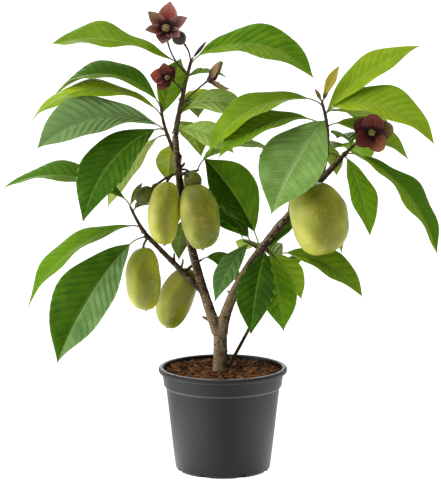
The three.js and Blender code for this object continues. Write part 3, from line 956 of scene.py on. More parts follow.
twigs = Lines()
shares = np.linspace(0, 1, SHOOT_STEPS)
base, tip = LIMBS[SHOOT][-2:]
twigs.add(limbs[SHOOT].at(shares)[0], base + (tip - base) * shares)
for name, spray in SPRAYS.items():
    stem = stems[name]
    knots = [row[1] for row in leaf_rows(spray)]
    stalks = []
    for kind, stout in STALK_STOUTNESS.items():
        for row in spray.get(kind, []):
            knots.append(row[0])
            stalks.append((stalk_of(name, *row[:5]), stout))
    shares = np.linspace(0, 1, max(FEWEST_STEPS, int(stem.length / STEM_STEP)))
    wide = STEMS[name][-1] * (1 + (STEM_TAPER - 1) * shares)
    near = np.abs(shares[:, None] - TOPMOST * np.array(knots)).min(1) * stem.length
    wide = wide * (1 + NODE_SWELL * np.exp(-((near / NODE_SPAN) ** 2)))
    wide[-len(STEM_CLOSING) :] *= STEM_CLOSING
    twigs.add(stem.at(shares)[0], wide)
    shares = np.linspace(0, 1, STALK_STEPS)
    foot = STALK_FOOT_SWELL * np.exp(-shares / STALK_FOOT)
    head = STALK_HEAD_SWELL * np.exp(-(1 - shares) / STALK_HEAD)
    for stalk, stout in stalks:
        twigs.add(stalk.at(shares)[0], STALK_RADIUS * (1 + foot + head) * stout)
twig_piece = twigs.piece("twigs", twig_bark)
fitted(twig_piece, "bark", SHOOT, *SPRAYS)


# Leaves
# Big thin pawpaw blades, widest past the middle and drawn out to a drip tip, quilted between veins that
# sweep forward from a pale midrib. Each hangs from its stalk, which runs on along the blade as the midrib.
LEAF_WIDTH = 0.42
LEAF_PEAK = 1.08
LEAF_SHOULDER = 0.82
LEAF_DRIP_TIP = 0.5
LEAF_TIP = 0.5
LEAF_FOLD = 24
LEAF_ARCH = 0.17
LEAF_WAVE = 0.012
LEAF_THICKNESS = 0.8
LEAF_CREASE = 60
RIPPLES = 2.6
RIPPLE_OFFSET = 0.12
VEIN_GAP = 16
FEWEST_VEINS = 6
VEIN_SWEEP = 0.44
VEIN_EASE = 0.35
VEIN_ROWS = np.array([0, 0.08, 0.28, 0.5, 0.72, 0.92])
BLADE_COLUMNS = np.array([0, 0.025, 0.1, 0.22, 0.36, 0.5, 0.64, 0.78, 0.9, 1])
VEIN_GROOVE = 0.25
PAD_ROUNDING = 0.7
DEEPEST_QUILTING = 0.25
STALK_SHARE = 0.1
STALK_LIFT = 38
STALK_STEEPEST = 76
STALK_SUNK = 5
LEAF_STALK_RADIUS = 1.2
LEAF_STALK_STEPS = 14
LEAF_STALK_FOOT = 0.1
LEAF_STALK_SWELL = 0.6
MIDRIB_STEPS = 40
MIDRIB_END = 0.97
MIDRIB_TAPER = 0.55
MIDRIB_TIP = 0.25
FULL_LEAF = 100
LEAF_SEED = 23
LEAF_ROUGHNESS = 0.3
UNDERSIDE_ROUGHNESS = 0.6
# The grey and silver tints are painted sky reflection on the blade, and the pale and lime tints are partly
# painted light shining through it.
TINTS = {
    # blade, lighter blade, vein, underside, quilting
    "deep": ("#223f02", "#345706", "#5f7f2a", "#74883e", 0.16),
    "dark": ("#315608", "#4a7010", "#74923a", "#7d9048", 0.17),
    "mid": ("#48700a", "#658c12", "#8ea84a", "#8d9f4c", 0.15),
    "fresh": ("#608214", "#7c991c", "#a0b84a", "#9bad52", 0.13),
    "bright": ("#6c8a0e", "#879f18", "#aabf4c", "#9db04e", 0.09),
    "lime": ("#829c10", "#9eb020", "#bccb5a", "#aaba5a", 0.08),
    "grey": ("#4f7236", "#708d52", "#9bb07c", "#8f9f62", 0.2),
    "silver": ("#608238", "#7fa056", "#b2c58c", "#93a562", 0.11),
    "pale": ("#86a548", "#a2bc60", "#bccb84", "#b4c66a", 0.1),
    "ochre": ("#8a7a26", "#a08f36", "#b3a150", "#8f8040", 0.06),
    "olive": ("#5f652a", "#7a803c", "#949856", "#74783c", 0.04),
    "bud": ("#6d5032", "#85663c", "#98794c", "#725836", 0.03),
}
LEAF_SHADE = "#1c3404"
STALK_GREEN = "#7f9238"
STALK_BROWN = "#574229"
MIDRIB_GREEN = "#64822c"


def dice(seed):
    """A seeded run of even chances from -1 to 1."""
    state = seed
    while True:
        state = (state * 1664525 + 1013904223) % 2**32
        yield state / 2**32 * 2 - 1


def blade_outline(share, peak):
    """Half width of a blade at a share of its length, as a share of the widest."""
    body = np.sin(np.pi * np.minimum(1, share**peak))
    return np.maximum(0, body) ** (LEAF_SHOULDER + LEAF_DRIP_TIP * share)


def sheet(upper, lower):
    """Points and faces of a closed thin sheet from its upper and lower grids, which share their rim."""
    rows, columns = upper.shape[:2]
    top = np.arange(rows * columns).reshape(rows, columns)
    under = top + rows * columns
    under[:, [0, -1]] = top[:, [0, -1]]
    under[[0, -1]] = top[[0, -1]]

    def quads(grid):
        return np.stack([grid[:-1, :-1], grid[:-1, 1:], grid[1:, 1:], grid[1:, :-1]], -1).reshape(-1, 4)

    faces = np.concatenate([quads(top), quads(under)[:, ::-1]])
    used, renamed = np.unique(faces, return_inverse=True)
    points = np.concatenate([upper.reshape(-1, 3), lower.reshape(-1, 3)])[used]
    return points, renamed.reshape(-1, 4), used % (rows * columns)


def leaf_lines(root, heading, slope, droop, length, stalk):
    """The bends of a leaf's stalk and midrib."""
    rise = slope + droop / 2
    steep = max(rise, min(rise + STALK_LIFT, STALK_STEEPEST))
    stem = Bend(root, heading, steep, steep - rise, stalk)
    point, along = stem.at(1)[:2]
    return stem, Bend(point - along * min(STALK_SUNK, stalk / 2), heading, rise, droop, length)


def blade(midrib, width, roll, wave, fold, peak, phase, quilt):
    """The upper and lower grids of a blade, where its veins run, and how much painted shade falls in its
    creases.
    """
    veins = max(FEWEST_VEINS, round(midrib.length / VEIN_GAP))
    rows = np.append((np.arange(veins)[:, None] + VEIN_ROWS).ravel(), veins)[:, None]
    between = rows % 1
    root = rows / veins
    columns = np.concatenate([-BLADE_COLUMNS[:0:-1], BLADE_COLUMNS])
    out = np.abs(columns)[None, :]
    share = np.clip(root + VEIN_SWEEP * out * root**VEIN_EASE * (1 - root), 0, 1)
    half = np.maximum(LEAF_TIP, width / 2 * blade_outline(share, peak))
    point, _, upper, side = midrib.at(share)
    turn = math.radians(roll)
    rolled_side = side * math.cos(turn) - upper * math.sin(turn)
    rolled_upper = upper * math.cos(turn) + side * math.sin(turn)
    pad = np.sin(np.pi * between) ** PAD_ROUNDING
    # The quilting dies out at the midrib, the rim and the tip.
    fade = out**0.4 * (1 - out) ** 0.5 * 1.7 * (1 - root**4)
    lift = half * (math.sin(math.radians(fold)) * out - LEAF_ARCH * out**2)
    lift = lift + quilt * midrib.length / veins * pad * fade
    ripple = np.sin(2 * np.pi * (RIPPLES * share + phase + RIPPLE_OFFSET * np.sign(columns)))
    lift = lift + wave * ripple * out**2 * np.sin(np.pi * share) ** 0.5
    across = columns * half * math.cos(math.radians(fold))
    vein = np.where(between == 0, 1.0, 0.0) * np.where(root < 0.99, 1, 0) + 0 * out
    vein = np.maximum(vein * (1 - 0.5 * out), np.where(out < 0.03, 1.0, 0.0) + 0 * root)
    top = point + rolled_side * across[..., None] + rolled_upper * lift[..., None]
    deep = LEAF_THICKNESS * (1 - out**3) + VEIN_GROOVE * vein * (1 - out)
    # Painted shade in the creases along the veins, deepest on the most quilted tints.
    crease = (1 - pad) * fade * quilt / DEEPEST_QUILTING
    return top, top - rolled_upper * deep[..., None], vein, crease


def leaf_finish(name, deep, light, vein, roughness):
    made = Finish(name, {"Specular IOR Level": 0.05})
    place = made.place()
    line = made.trait("vein")
    shade = made.trait("shade")
    mottle = made.noise(place, 38, 4)
    body = made.blend(made.band(mottle + 0.35 * shade, 0.3, 0.85), tint(deep), tint(light))
    grain = made.noise(place, 700, 3)
    body = made.blend(0.3 * made.band(grain, 0.5, 0.75), body, tint(deep))
    # Painted shade, darkening the blade in its creases.
    body = made.blend(0.4 * made.trait("crease"), body, tint(LEAF_SHADE))
    made.feed("Base Color", made.blend(0.5 * line**1.5, body, tint(vein)))
    made.feed("Roughness", roughness + 0.14 * mottle + 0.1 * grain)
    made.bump(grain + 0.6 * mottle, 0.0004)
    return made


leaf_paint = []
paint_of = {}
for name, (deep, light, vein, under, quilt) in TINTS.items():
    paint_of[name] = len(leaf_paint)
    leaf_paint.append(leaf_finish(name + "_leaf", deep, light, vein, LEAF_ROUGHNESS))
    leaf_paint.append(leaf_finish(name + "_leaf_underside", under, light, vein, UNDERSIDE_ROUGHNESS))

stalk_skin = Finish("leaf_stalk", {"Specular IOR Level": 0.4})
place = stalk_skin.place()
along = stalk_skin.trait("along")
fleck = stalk_skin.noise(place, 300, 3)
ripened = stalk_skin.band(along + 0.12 * fleck, 0.02, 0.24)
stalk_green = stalk_skin.blend(stalk_skin.band(along, 0.25, 0.5), tint(STALK_GREEN), tint(MIDRIB_GREEN))
stalk_skin.feed("Base Color", stalk_skin.blend(ripened, tint(STALK_BROWN), stalk_green))
stalk_skin.feed("Roughness", 0.42 + 0.2 * fleck)
stalk_skin.bump(fleck, 0.0003)

leaf_stalks = Lines()
chance = dice(LEAF_SEED)
leaf_sprays = []
for name, spray in SPRAYS.items():
    if not leaf_rows(spray):
        continue
    leaf_sprays.append(name)
    leaf_heap = Heap()
    for hue, at, heading, slope, droop, length, roll, *more in leaf_rows(spray):
        usual = [LEAF_WIDTH, STALK_SHARE * length, LEAF_WAVE * length, LEAF_FOLD, LEAF_PEAK]
        width, stalk, wave, fold, peak = more + usual[len(more) :]
        root = stems[name].at(at * TOPMOST)[0]
        stem, midrib = leaf_lines(root, heading, slope, droop, length, stalk)
        phase, shade = next(chance), next(chance)
        # The two halves may take different tints: painted light and shade across the fold.
        left, right = (hue.split() * 2)[:2]
        quilt = TINTS[left][-1]
        upper, lower, vein, crease = blade(midrib, width * length, roll, wave, fold, peak, phase, quilt)
        points, faces, source = sheet(upper, lower)
        traits = {"vein": vein.ravel()[source], "crease": crease.ravel()[source], "shade": shade}
        leaf_heap.add(points, faces.tolist(), **traits)
        rows, columns = vein.shape
        halves = [paint_of[left]] * (columns // 2) + [paint_of[right]] * (columns // 2)
        topside = halves * (rows - 1)
        leaf_heap.paint[-len(faces) :] = topside + [paint + 1 for paint in topside]
        slim = LEAF_STALK_RADIUS * min(1, length / FULL_LEAF)
        first = np.linspace(0, 1, LEAF_STALK_STEPS)
        later = np.linspace(STALK_SUNK / length, MIDRIB_END, MIDRIB_STEPS)
        path = np.concatenate([stem.at(first)[0], midrib.at(later)[0][1:]])
        bulge = slim * (1 + LEAF_STALK_SWELL * np.exp(-first / LEAF_STALK_FOOT))
        narrowing = slim + (MIDRIB_TIP - slim) * later**MIDRIB_TAPER
        leaf_stalks.add(path, np.concatenate([bulge, narrowing[1:]]))
    used = sorted(set(leaf_heap.paint))
    leaf_heap.paint = [used.index(paint) for paint in leaf_heap.paint]
    leaf_name = name.rsplit("_", 1)[0] + "_leaves"
    leaves = leaf_heap.piece(leaf_name, [leaf_paint[paint] for paint in used], LEAF_CREASE)
    fitted(leaves, "foliage", name)
stalk_piece = leaf_stalks.piece("leaf_stalks", stalk_skin)
fitted(stalk_piece, "foliage", *leaf_sprays)


# Fruit
# Pawpaw berries, soft and thin-skinned: yellow-green and lumpy where seeds press, each on a stout stalk,
# with a dark scar at the blossom end. The stoutest has a seam. Fruitlets are darker. A painted highlight
# lies on the flank towards the low lamp on the left, and a painted shade stripe runs down the front and
# back cheeks.
FRUIT_BLUNT = 0.74
FRUIT_SUNK = 4
FRUIT_RINGS = 72
FRUIT_SIDES = 80
FRUIT_LUMPS = 0.05
SEED_SCALE = 1.3
SEED_STRETCH = 1.5
FRUIT_SADDLE = 0.05
FRUIT_NAVEL = 0.03
SCAR_NAVEL = 0.012
# Heading of the cheek that takes the painted shade stripe.
SHADED_HEADING = 280
# Heading of the flank that takes the painted highlight, towards the low lamp on the left.
LIT_HEADING = 196
FLANK_WANDER = 0.35
SEAM_TURN = 0.75
SEAM_WIDTH = 0.1
SEAM_DEPTH = 0.025
SEAMED_WIDTH = 80
SCAR_RADIUS = 2.4
SCAR_LENGTH = 2.4
SCAR_SUNK = 2
SCAR_SIDES = 12
SCAR_SWELL = (1, 1.1, 0.95, 1.05, 0.8, 0.45)
FULL_SCAR_WIDTH = 50
FRUIT_GREEN = "#829210"
FRUIT_YELLOW = "#b4b22e"
FRUIT_SHADE_OLIVE = "#545204"
FRUITLET_GREEN = "#333e06"
FRUIT_BLOOM_AND_HIGHLIGHT = "#dcd480"
FRUIT_SPECK = "#4a3b1c"
FRUIT_RUSSET = "#8a7428"
FRUIT_SHEEN = "#eef0b8"
SCAR_DARK = "#1d140c"
SCAR_BROWN = "#4a3823"


def seed_lumps(lie, turn, start):
    """How far the seeds press out the skin of a fruit, on its grid of rings."""
    lumps = np.empty((len(lie), turn.shape[1]))
    for i, level in enumerate(lie[:, 0]):
        for j, angle in enumerate(turn[0]):
            spot = Vector((math.cos(angle), math.sin(angle), SEED_STRETCH * math.sin(level)))
            lumps[i, j] = noise.noise(SEED_SCALE * spot + start)
    return lumps


def with_ends(values, first=0, last=0):
    """The values on a grid of rings, and then those of the two points that close its ends."""
    return np.append(values.ravel(), (first, last))


def blossom_scar(spot, axis, upper, side, width):
    wide = SCAR_RADIUS * min(1, width / FULL_SCAR_WIDTH) * np.array(SCAR_SWELL)
    spine = spot + np.linspace(-SCAR_SUNK, SCAR_LENGTH, len(wide))[:, None] * axis
    rings = spine[:, None] + wide[:, None, None] * spokes(circle(SCAR_SIDES), upper, side)
    return skin(rings, spine[0], spine[-1])


fruit_skin = Finish(
    "fruit_skin",
    {
        "Specular IOR Level": 0.28,
        "Sheen Weight": 0.08,
        "Sheen Roughness": 0.35,
        "Sheen Tint": tint(FRUIT_SHEEN),
    },
)
place = fruit_skin.place()
ripe = fruit_skin.trait("ripe")
along = fruit_skin.trait("along")
shade_stripe = fruit_skin.trait("shade_stripe")
cloud = fruit_skin.noise(place, 32, 4)
fine = fruit_skin.noise(place, 160, 5)
flesh = fruit_skin.blend(ripe, tint(FRUITLET_GREEN), tint(FRUIT_GREEN))
yellowed = fruit_skin.band(cloud + 0.35 * ripe, 0.45, 1.0)
flesh = fruit_skin.blend(0.7 * yellowed, flesh, tint(FRUIT_YELLOW))
# Painted shade: an olive stripe down the cheeks turned to the front and the back.
shaded = fruit_skin.band(shade_stripe + 0.5 * cloud, 0.25, 1.35)
flesh = fruit_skin.blend(0.8 * shaded, flesh, tint(FRUIT_SHADE_OLIVE))
# Painted highlight on the flank towards the low lamp on the left; the fine pale bloom below is the skin's
# own.
flank_highlight = ripe * fruit_skin.band(fruit_skin.trait("lit_side") + 0.3 * cloud, 0.3, 1.2)
flesh = fruit_skin.blend(0.6 * flank_highlight, flesh, tint(FRUIT_BLOOM_AND_HIGHLIGHT))
flesh = fruit_skin.blend(0.14 * fruit_skin.band(fine, 0.5, 0.8), flesh, tint(FRUIT_BLOOM_AND_HIGHLIGHT))
russet = fruit_skin.band(fruit_skin.noise(place, 22, 6), 0.58, 0.74)
flesh = fruit_skin.blend(0.3 * russet * ripe, flesh, tint(FRUIT_RUSSET))
seam = fruit_skin.trait("seam") * fruit_skin.band(fine, 0.3, 0.6)
flesh = fruit_skin.blend(0.75 * seam, flesh, tint(FRUIT_RUSSET))
cells = fruit_skin.node("ShaderNodeTexVoronoi", None, {"Vector": place, "Scale": 150.0})
speck = 1 - fruit_skin.band(cells, 0.1, 0.2)
spotted = speck * fruit_skin.band(along + 0.6 * cloud, 0.7, 1.15)
fruit_skin.feed("Base Color", fruit_skin.blend(0.8 * spotted, flesh, tint(FRUIT_SPECK)))
fruit_skin.feed("Roughness", 0.32 + 0.2 * fine)
fruit_skin.bump(fine - 0.4 * spotted, 0.0007)

scar_skin = Finish("blossom_scar", {"Roughness": 0.85})
crust = scar_skin.noise(scar_skin.place(), 700, 4)
scar_skin.feed("Base Color", scar_skin.blend(crust, tint(SCAR_DARK), tint(SCAR_BROWN)))
scar_skin.bump(crust, 0.0008)

fruit_heap = Heap()
lie = np.linspace(-0.5, 0.5, FRUIT_RINGS + 2)[1:-1, None] * math.pi
turn = circle(FRUIT_SIDES)[None, :]
off_seam = (turn - SEAM_TURN + np.pi) % (2 * np.pi) - np.pi
for name, spray in SPRAYS.items():
    for number, row in enumerate(spray.get("fruits", [])):
        heading = row[1]
        length, width, ripe = row[5:]
        end, axis, upper, side = stalk_of(name, *row[:5]).at(1)
        lumps = seed_lumps(lie, turn, Vector((heading, length, number)))
        groove = np.exp(-((off_seam / SEAM_WIDTH) ** 2)) * np.cos(lie) * (width > SEAMED_WIDTH)
        wide = width / 2 * np.cos(lie) ** FRUIT_BLUNT
        wide = wide * (1 + FRUIT_LUMPS * lumps - SEAM_DEPTH * groove)
        middle = end + axis * (length / 2 - FRUIT_SUNK)
        far = length / 2 * np.sin(lie)
        sway = FRUIT_SADDLE * length * (np.cos(lie) - 0.6)
        rings = middle + far[..., None] * axis + wide[..., None] * spokes(turn, upper, side)
        rings = rings + sway[..., None] * upper
        top, bottom = rings[0].mean(0), rings[-1].mean(0)
        points, faces = skin(rings, top + axis * FRUIT_NAVEL * length, bottom - axis * SCAR_NAVEL * length)
        # Angles from the cheek of the painted shade stripe.
        shaded_cheek = turn - math.radians(heading - SHADED_HEADING) + FLANK_WANDER * lumps
        # Angles from the flank of the painted highlight.
        lit_side = turn - math.radians(heading - LIT_HEADING) + FLANK_WANDER * lumps
        traits = {
            "ripe": ripe,
            "along": with_ends(lie / math.pi + 0.5 + 0 * turn, 0, 1),
            "shade_stripe": with_ends(np.cos(shaded_cheek) ** 4 * np.cos(lie) ** 0.5),
            "lit_side": with_ends(np.maximum(0, np.cos(lit_side)) ** 2 * np.cos(lie) ** 0.5),
            "seam": with_ends(groove),
        }
        fruit_heap.add(points, faces, 0, **traits)
        scar = blossom_scar(bottom, axis, upper, side, width)
        fruit_heap.add(*scar, 1, ripe=ripe, along=1, shade_stripe=0, lit_side=0, seam=0)
fruits = fruit_heap.piece("fruit", [fruit_skin, scar_skin])
fitted(fruits, "fruit", "fruit_cluster", "left_fruit_spur", "low_centre_spray", "right_fruit_spur")


# Flowers and buds
# Maroon flowers that nod on short stalks: ribbed, cupped petals, dark in the throat, round a ball of
# stamens. Flower buds are round, dark and downy, and leaf buds are slim brown spindles.
PETAL_RIBS = 9
PETAL_RELIEF = 0.3
PETAL_THICKNESS = 0.8
PETAL_ROWS = 30
PETAL_COLUMNS = 37
PETAL_CUPPING = 2.2
PETAL_WAVE = 0.035
PETAL_CREASE = 60
HEART = 0.13
HEART_LIFT = 0.7
HEART_RINGS = 10
HEART_SIDES = 18
STAMEN_GRAIN = 0.9
STAMEN_SEED = 4
STAMEN_SHORTEST = (0.7, 0.7, 1.2)
STAMEN_LONGEST = (1.1, 1.1, 2.2)
STAMEN_CREASE = 60
BUD_RINGS = 20
BUD_SIDES = 30
BUD_SEAMS = 0.08
MAROON = "#380c12"
MAROON_DARK = "#140507"
PETAL_RED = "#9e4a36"
PETAL_TAN = "#8f7b4a"
PETAL_PINK = "#b28a84"
PETAL_BACK = "#4a2427"
STAMEN_GREEN = "#7d8040"
STAMEN_CREAM = "#b59a68"
STAMEN_DARK = "#2e2a14"
BUD_BROWN = "#241415"
BUD_DOWN = "#4c3229"
FLOWER_HABITS = {
    # how cupped, how pointed, age
    "cup": (0.3, 0.7, 1),
    "half_open": (0.4, 0.4, 0.2),
    "bell": (0.3, 0.8, 0.4),
    "saucer": (0.2, 0.1, 0.1),
}
WHORLS = {
    # of each petal: turn, rise, droop, length and width shares, warmth, fade
    "cup": [
        (20, 14, -24, 0.98, 0.58, 0.2, 0.1),
        (82, 12, -18, 1.1, 0.68, 0.75, 0),
        (142, 14, -24, 1, 0.54, 0.5, 0.55),
        (196, 12, -26, 0.92, 0.52, 0.5, 0.35),
        (262, 8, -30, 0.9, 0.72, 0.15, 0),
        (318, 10, -30, 0.85, 0.64, 0.2, 0.1),
    ],
    "half_open": [
        (178, 16, -22, 1.05, 0.86, 1, 0.1),
        (98, 26, -30, 0.95, 0.95, 0.4, 0),
        (40, 20, -34, 1, 0.95, 0.06, 0),
        (340, 30, -30, 0.9, 0.95, 0.04, 0),
        (250, 14, -30, 0.95, 0.9, 0.3, 0),
        (300, 22, -30, 0.8, 0.8, 0.1, 0),
    ],
    "bell": [
        (112, 20, -64, 1.06, 0.95, 0.1, 0.75),
        (250, 22, -60, 1.02, 0.95, 0.1, 0.75),
        (62, 20, -64, 1, 0.8, 0.1, 0.7),
        (150, 40, -50, 0.5, 0.7, 0.2, 0.2),
        (270, 40, -50, 0.5, 0.7, 0.2, 0.2),
        (30, 40, -50, 0.5, 0.7, 0.2, 0.2),
    ],
    "saucer": [
        (11, 12, 4, 1.02, 0.9, 0.08, 0.4),
        (84, 26, 0, 0.92, 1.16, 0.34, 0),
        (152, 14, 2, 0.95, 0.96, 0.12, 0),
        (222, 24, 6, 0.98, 0.9, 0.24, 0),
        (296, 16, 8, 1, 0.92, 0.55, 0.35),
    ],
}


def petal_finish(name, deep):
    made = Finish(name, {"Specular IOR Level": 0.1})
    place = made.place()
    along = made.trait("along")
    rib = made.trait("rib")
    heat = made.trait("warm")
    fade = made.trait("fade")
    rim = made.trait("rim")
    patch = made.noise(place, 160, 4)
    warmed = made.band(heat * (0.6 + 0.6 * along) + 0.3 * patch, 0.15, 1.1)
    body = made.blend(warmed, tint(deep), tint(PETAL_RED))
    faded = made.band(fade * (1.6 * along - 0.2) + 0.2 * patch, 0.2, 0.95)
    body = made.blend(faded, body, tint(PETAL_TAN))
    # Pink towards the rim of older flowers: faded edges, and partly a painted pinkish sheen.
    aged = 0.6 * made.trait("age") * made.band(rim + 0.2 * patch, 0.5, 1.15)
    body = made.blend(aged, body, tint(PETAL_PINK))
    body = made.blend(0.7 * rib, body, tint(MAROON_DARK))
    throat = 1 - made.band(along + 0.1 * patch, 0.28, 0.46)
    made.feed("Base Color", made.blend(0.92 * throat, body, tint(MAROON_DARK)))
    made.feed("Roughness", 0.34 + 0.25 * patch)
    made.bump(patch + 0.5 * rib, 0.0006)
    return made


petal_paint = [petal_finish("petal_inside", MAROON), petal_finish("petal_outside", PETAL_BACK)]
stamen_skin = Finish("stamens", {"Roughness": 0.7})
dusting = stamen_skin.noise(stamen_skin.place(), 600, 3)
ball = stamen_skin.blend(stamen_skin.trait("age"), tint(STAMEN_GREEN), tint(STAMEN_CREAM))
dusted = stamen_skin.band(dusting, 0.35, 0.6)
stamen_skin.feed("Base Color", stamen_skin.blend(dusted, tint(STAMEN_DARK), ball))
stamen_skin.bump(dusting, 0.0004)
bud_skin = Finish("bud_down", {"Sheen Weight": 0.2, "Sheen Roughness": 0.5})
down = bud_skin.noise(bud_skin.place(), 420, 5)
bud_skin.feed("Base Color", bud_skin.blend(bud_skin.band(down, 0.4, 0.7), tint(BUD_BROWN), tint(BUD_DOWN)))
bud_skin.feed("Roughness", 0.65 + 0.25 * down)
bud_skin.bump(down, 0.0008)

petal_heap = Heap()
heart_heap = Heap()
bud_heap = Heap()
flower_sprays = []
lie = np.linspace(0, 1, PETAL_ROWS)[:, None]
over = np.linspace(-1, 1, PETAL_COLUMNS)[None, :]
for name, spray in SPRAYS.items():
    for at, heading, rise, droop, stalk, petal, face_heading, face_rise, form in spray.get("flowers", []):
        cup, pointed, age = FLOWER_HABITS[form]
        middle = stalk_of(name, at, heading, rise, droop, stalk).at(1)[0]
        _, face, above, _ = Bend((0, 0, 0), face_heading, face_rise, 0, 1).at(0)
        turn = np.column_stack([np.cross(above, face), above, face])
        for number, (angle, petal_rise, petal_droop, long, wide, warm, fade) in enumerate(WHORLS[form]):
            length = petal * long
            rib = Bend((0, 0, 0), angle, petal_rise, petal_droop, length)
            # A petal is narrow at its foot, broad past the middle and more or less pointed.
            swell = np.sin(np.pi * (0.07 + 0.91 * lie)) ** (0.72 - 0.3 * lie + pointed * lie**2)
            half = length * wide / 2 * swell
            point, _, upper, side = rib.at(lie + 0 * over)
            ridge = 0.5 + 0.5 * np.cos(PETAL_RIBS * np.pi * over)
            lift = cup * half * np.abs(over) ** PETAL_CUPPING + PETAL_RELIEF * ridge * np.sin(np.pi * lie)
            wave = np.sin(4 * over + 2.1 * number) * np.abs(over) * lie**1.5
            lift = lift + PETAL_WAVE * length * wave
            top = point + side * (half * over)[..., None] + upper * lift[..., None]
            deep = PETAL_THICKNESS * (1 - over**4) * np.sin(np.pi * (0.1 + 0.8 * lie))
            under = top - upper * deep[..., None]
            points, faces, source = sheet(top @ turn.T + middle, under @ turn.T + middle)
            streak = (1 - ridge) * (1 - 0.6 * lie) + 0.8 * np.exp(-((over / 0.12) ** 2)) * (1 - lie)
            traits = {
                "along": (lie + 0 * over).ravel()[source],
                "rib": np.clip(streak, 0, 1).ravel()[source],
                "rim": np.maximum(np.abs(over) + 0 * lie, lie + 0 * over).ravel()[source],
                "warm": warm,
                "fade": fade,
                "age": age,
            }
            petal_heap.add(points, faces.tolist(), 0, **traits)
            petal_heap.paint[-(len(faces) // 2) :] = [1] * (len(faces) // 2)
        reach = petal * HEART
        level = np.linspace(-0.5, 0.5, HEART_RINGS + 2)[1:-1] * math.pi
        ball = ringed(np.cos(level), np.sin(level), HEART_SIDES)
        globe, faces = skin(ball * reach, (0, 0, -reach), (0, 0, reach))
        globe = globe + (0, 0, HEART_LIFT * reach)
        heart_heap.add(globe @ turn.T + middle, faces, age=age)
        flower_sprays.append(name)
    for at, heading, rise, droop, stalk, length, width in spray.get("buds", []):
        point, axis, upper, side = stalk_of(name, at, heading, rise, droop, stalk).at(1)
        shares = np.linspace(0, 1, BUD_RINGS + 2)[1:-1, None]
        around = circle(BUD_SIDES)[None, :]
        seams = 1 - BUD_SEAMS * np.abs(np.cos(1.5 * around)) ** 8
        wide = width / 2 * np.sin(np.pi * shares**0.9) ** 0.7 * seams
        rings = point + (shares * length)[..., None] * axis + wide[..., None] * spokes(around, upper, side)
        bud_heap.add(*skin(rings, point, point + axis * length))

petals = petal_heap.piece("petals", petal_paint, PETAL_CREASE)
fitted(petals, "foliage", *sorted(set(flower_sprays)))
buds = bud_heap.piece("buds", [bud_skin])
fitted(buds, "foliage", "crown_spray", "upright_spray")

anthers = Growth("stamen_ball", {"Size": "Float", "Seed": "Int", "Finish": "Material"})
outward = anthers.facing("Z", anthers.node("GeometryNodeInputNormal"))
grain = anthers.node(
    "GeometryNodeMeshIcoSphere",
    None,
    {"Radius": anthers.given("Size"), "Subdivisions": 1},
)
stretch = anthers.drawn(STAMEN_SHORTEST, STAMEN_LONGEST)
dotted = anthers.set_out(anthers.given(), grain, outward, stretch)
both = anthers.nodes.new("GeometryNodeJoinGeometry")
anthers.links.new(anthers.given().socket, both.inputs[0])
anthers.links.new(dotted.socket, both.inputs[0])
anthers.ends_in(Wire(anthers, both.outputs[0]))
hearts = heart_heap.piece("flower_hearts", [stamen_skin])
sizes = {"Size": STAMEN_GRAIN * MM, "Seed": STAMEN_SEED, "Finish": stamen_skin.material}
hearts = anthers.grow(hearts, sizes)
fitted(smoothed(hearts, STAMEN_CREASE), "foliage", *sorted(set(flower_sprays)))


# Studio
# A plain white floor with two soft pools of light and a white surround, brighter at the back. Four lamps: a
# broad one up to the left, one low on the left, a weak one low on the right and one behind.
FLOOR_REACH = 30
FLOOR_WHITE = "#c8c8c8"
FLOOR_SOFT = "#c2c2c2"
FLOOR_GLOW = 3.0
FLOOR_DIM = "#8a8a8a"
LIGHT_POOLS = [
    # centre, strength
    ((-0.24, -0.12, 0), 1.0),
    ((0.26, -0.08, 0), 0.65),
]
POOL_CORE = 0.06
POOL_REACH = 0.3
SURROUND_FRONT = 0.24
SURROUND_BACK = 0.75
SURROUND_BLEND = (-0.5, 0.8)
WHITE = (1, 1, 1, 1)
LAMPS = {
    # heading and height it shines from, how wide it looks, strength
    "key_lamp": (216, 64, 60, 2.2),
    "side_lamp": (202, 6, 40, 2.0),
    "fill_lamp": (346, 6, 30, 0.12),
    "back_lamp": (100, 18, 24, 0.6),
}
CAMERA_DISTANCE = 4.0
CAMERA_RISE = math.radians(9)
CAMERA_TARGET = Vector((-0.0039, 0, 0.376))
CAMERA_LENS = 185
CAMERA_FARTHEST = 100
SENSOR = 36

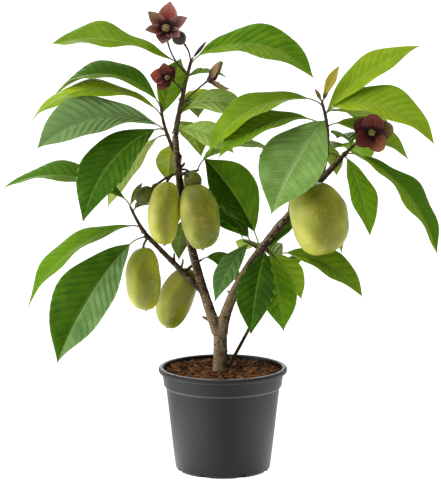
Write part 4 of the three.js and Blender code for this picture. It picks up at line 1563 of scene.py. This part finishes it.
floor_finish = Finish("studio_floor", {"Roughness": 0.9, "Emission Strength": FLOOR_GLOW})
place = floor_finish.place()
shade = floor_finish.noise(place, 3)
floor_finish.feed("Base Color", floor_finish.blend(shade, tint(FLOOR_WHITE), tint(FLOOR_SOFT)))
glow = tint(FLOOR_DIM)
for centre, strength in LIGHT_POOLS:
    apart = floor_finish.vector("DISTANCE", place, centre, "Value")
    pool = strength * (1 - floor_finish.band(apart, POOL_CORE, POOL_REACH))
    glow = floor_finish.blend(pool, glow, WHITE)
floor_finish.feed("Emission Color", glow)
floor_mesh = bpy.data.meshes.new("studio_floor")
corners = [(-1, -1), (1, -1), (1, 1), (-1, 1)]
floor_mesh.from_pydata([(x * FLOOR_REACH, y * FLOOR_REACH, 0) for x, y in corners], [], [(0, 1, 2, 3)])
floor_mesh.materials.append(floor_finish.material)
shown("studio_floor", floor_mesh)

surround = bpy.data.worlds.new("surround")
surround.use_nodes = True
walls = Tree(surround.node_tree)
away = walls.node("ShaderNodeSeparateXYZ", None, {0: walls.node("ShaderNodeTexCoord")}, "Y")
bright = SURROUND_FRONT + (SURROUND_BACK - SURROUND_FRONT) * walls.band(away, *SURROUND_BLEND)
backing = surround.node_tree.nodes["Background"]
backing.inputs["Color"].default_value = WHITE
walls.links.new(bright.socket, backing.inputs["Strength"])
bpy.context.scene.world = surround
bpy.context.scene.view_settings.view_transform = "Standard"

for name, (heading, rise, angle, strength) in LAMPS.items():
    lamp = bpy.data.lights.new(name, "SUN")
    lamp.angle = math.radians(angle)
    lamp.energy = strength
    holder = shown(name, lamp)
    holder.rotation_mode = "QUATERNION"
    towards = Vector(Bend((0, 0, 0), heading, rise, 0, 1).at(0)[1])
    holder.rotation_quaternion = towards.to_track_quat("Z", "Y")

lens = bpy.data.cameras.new("camera")
lens.sensor_width = SENSOR
lens.lens = CAMERA_LENS
lens.clip_end = CAMERA_FARTHEST
camera = shown("camera", lens)
back = Vector((0, -math.cos(CAMERA_RISE), math.sin(CAMERA_RISE)))
camera.location = CAMERA_TARGET + back * CAMERA_DISTANCE
camera.rotation_mode = "QUATERNION"
camera.rotation_quaternion = (-back).to_track_quat("-Z", "Y")
bpy.context.scene.camera = camera
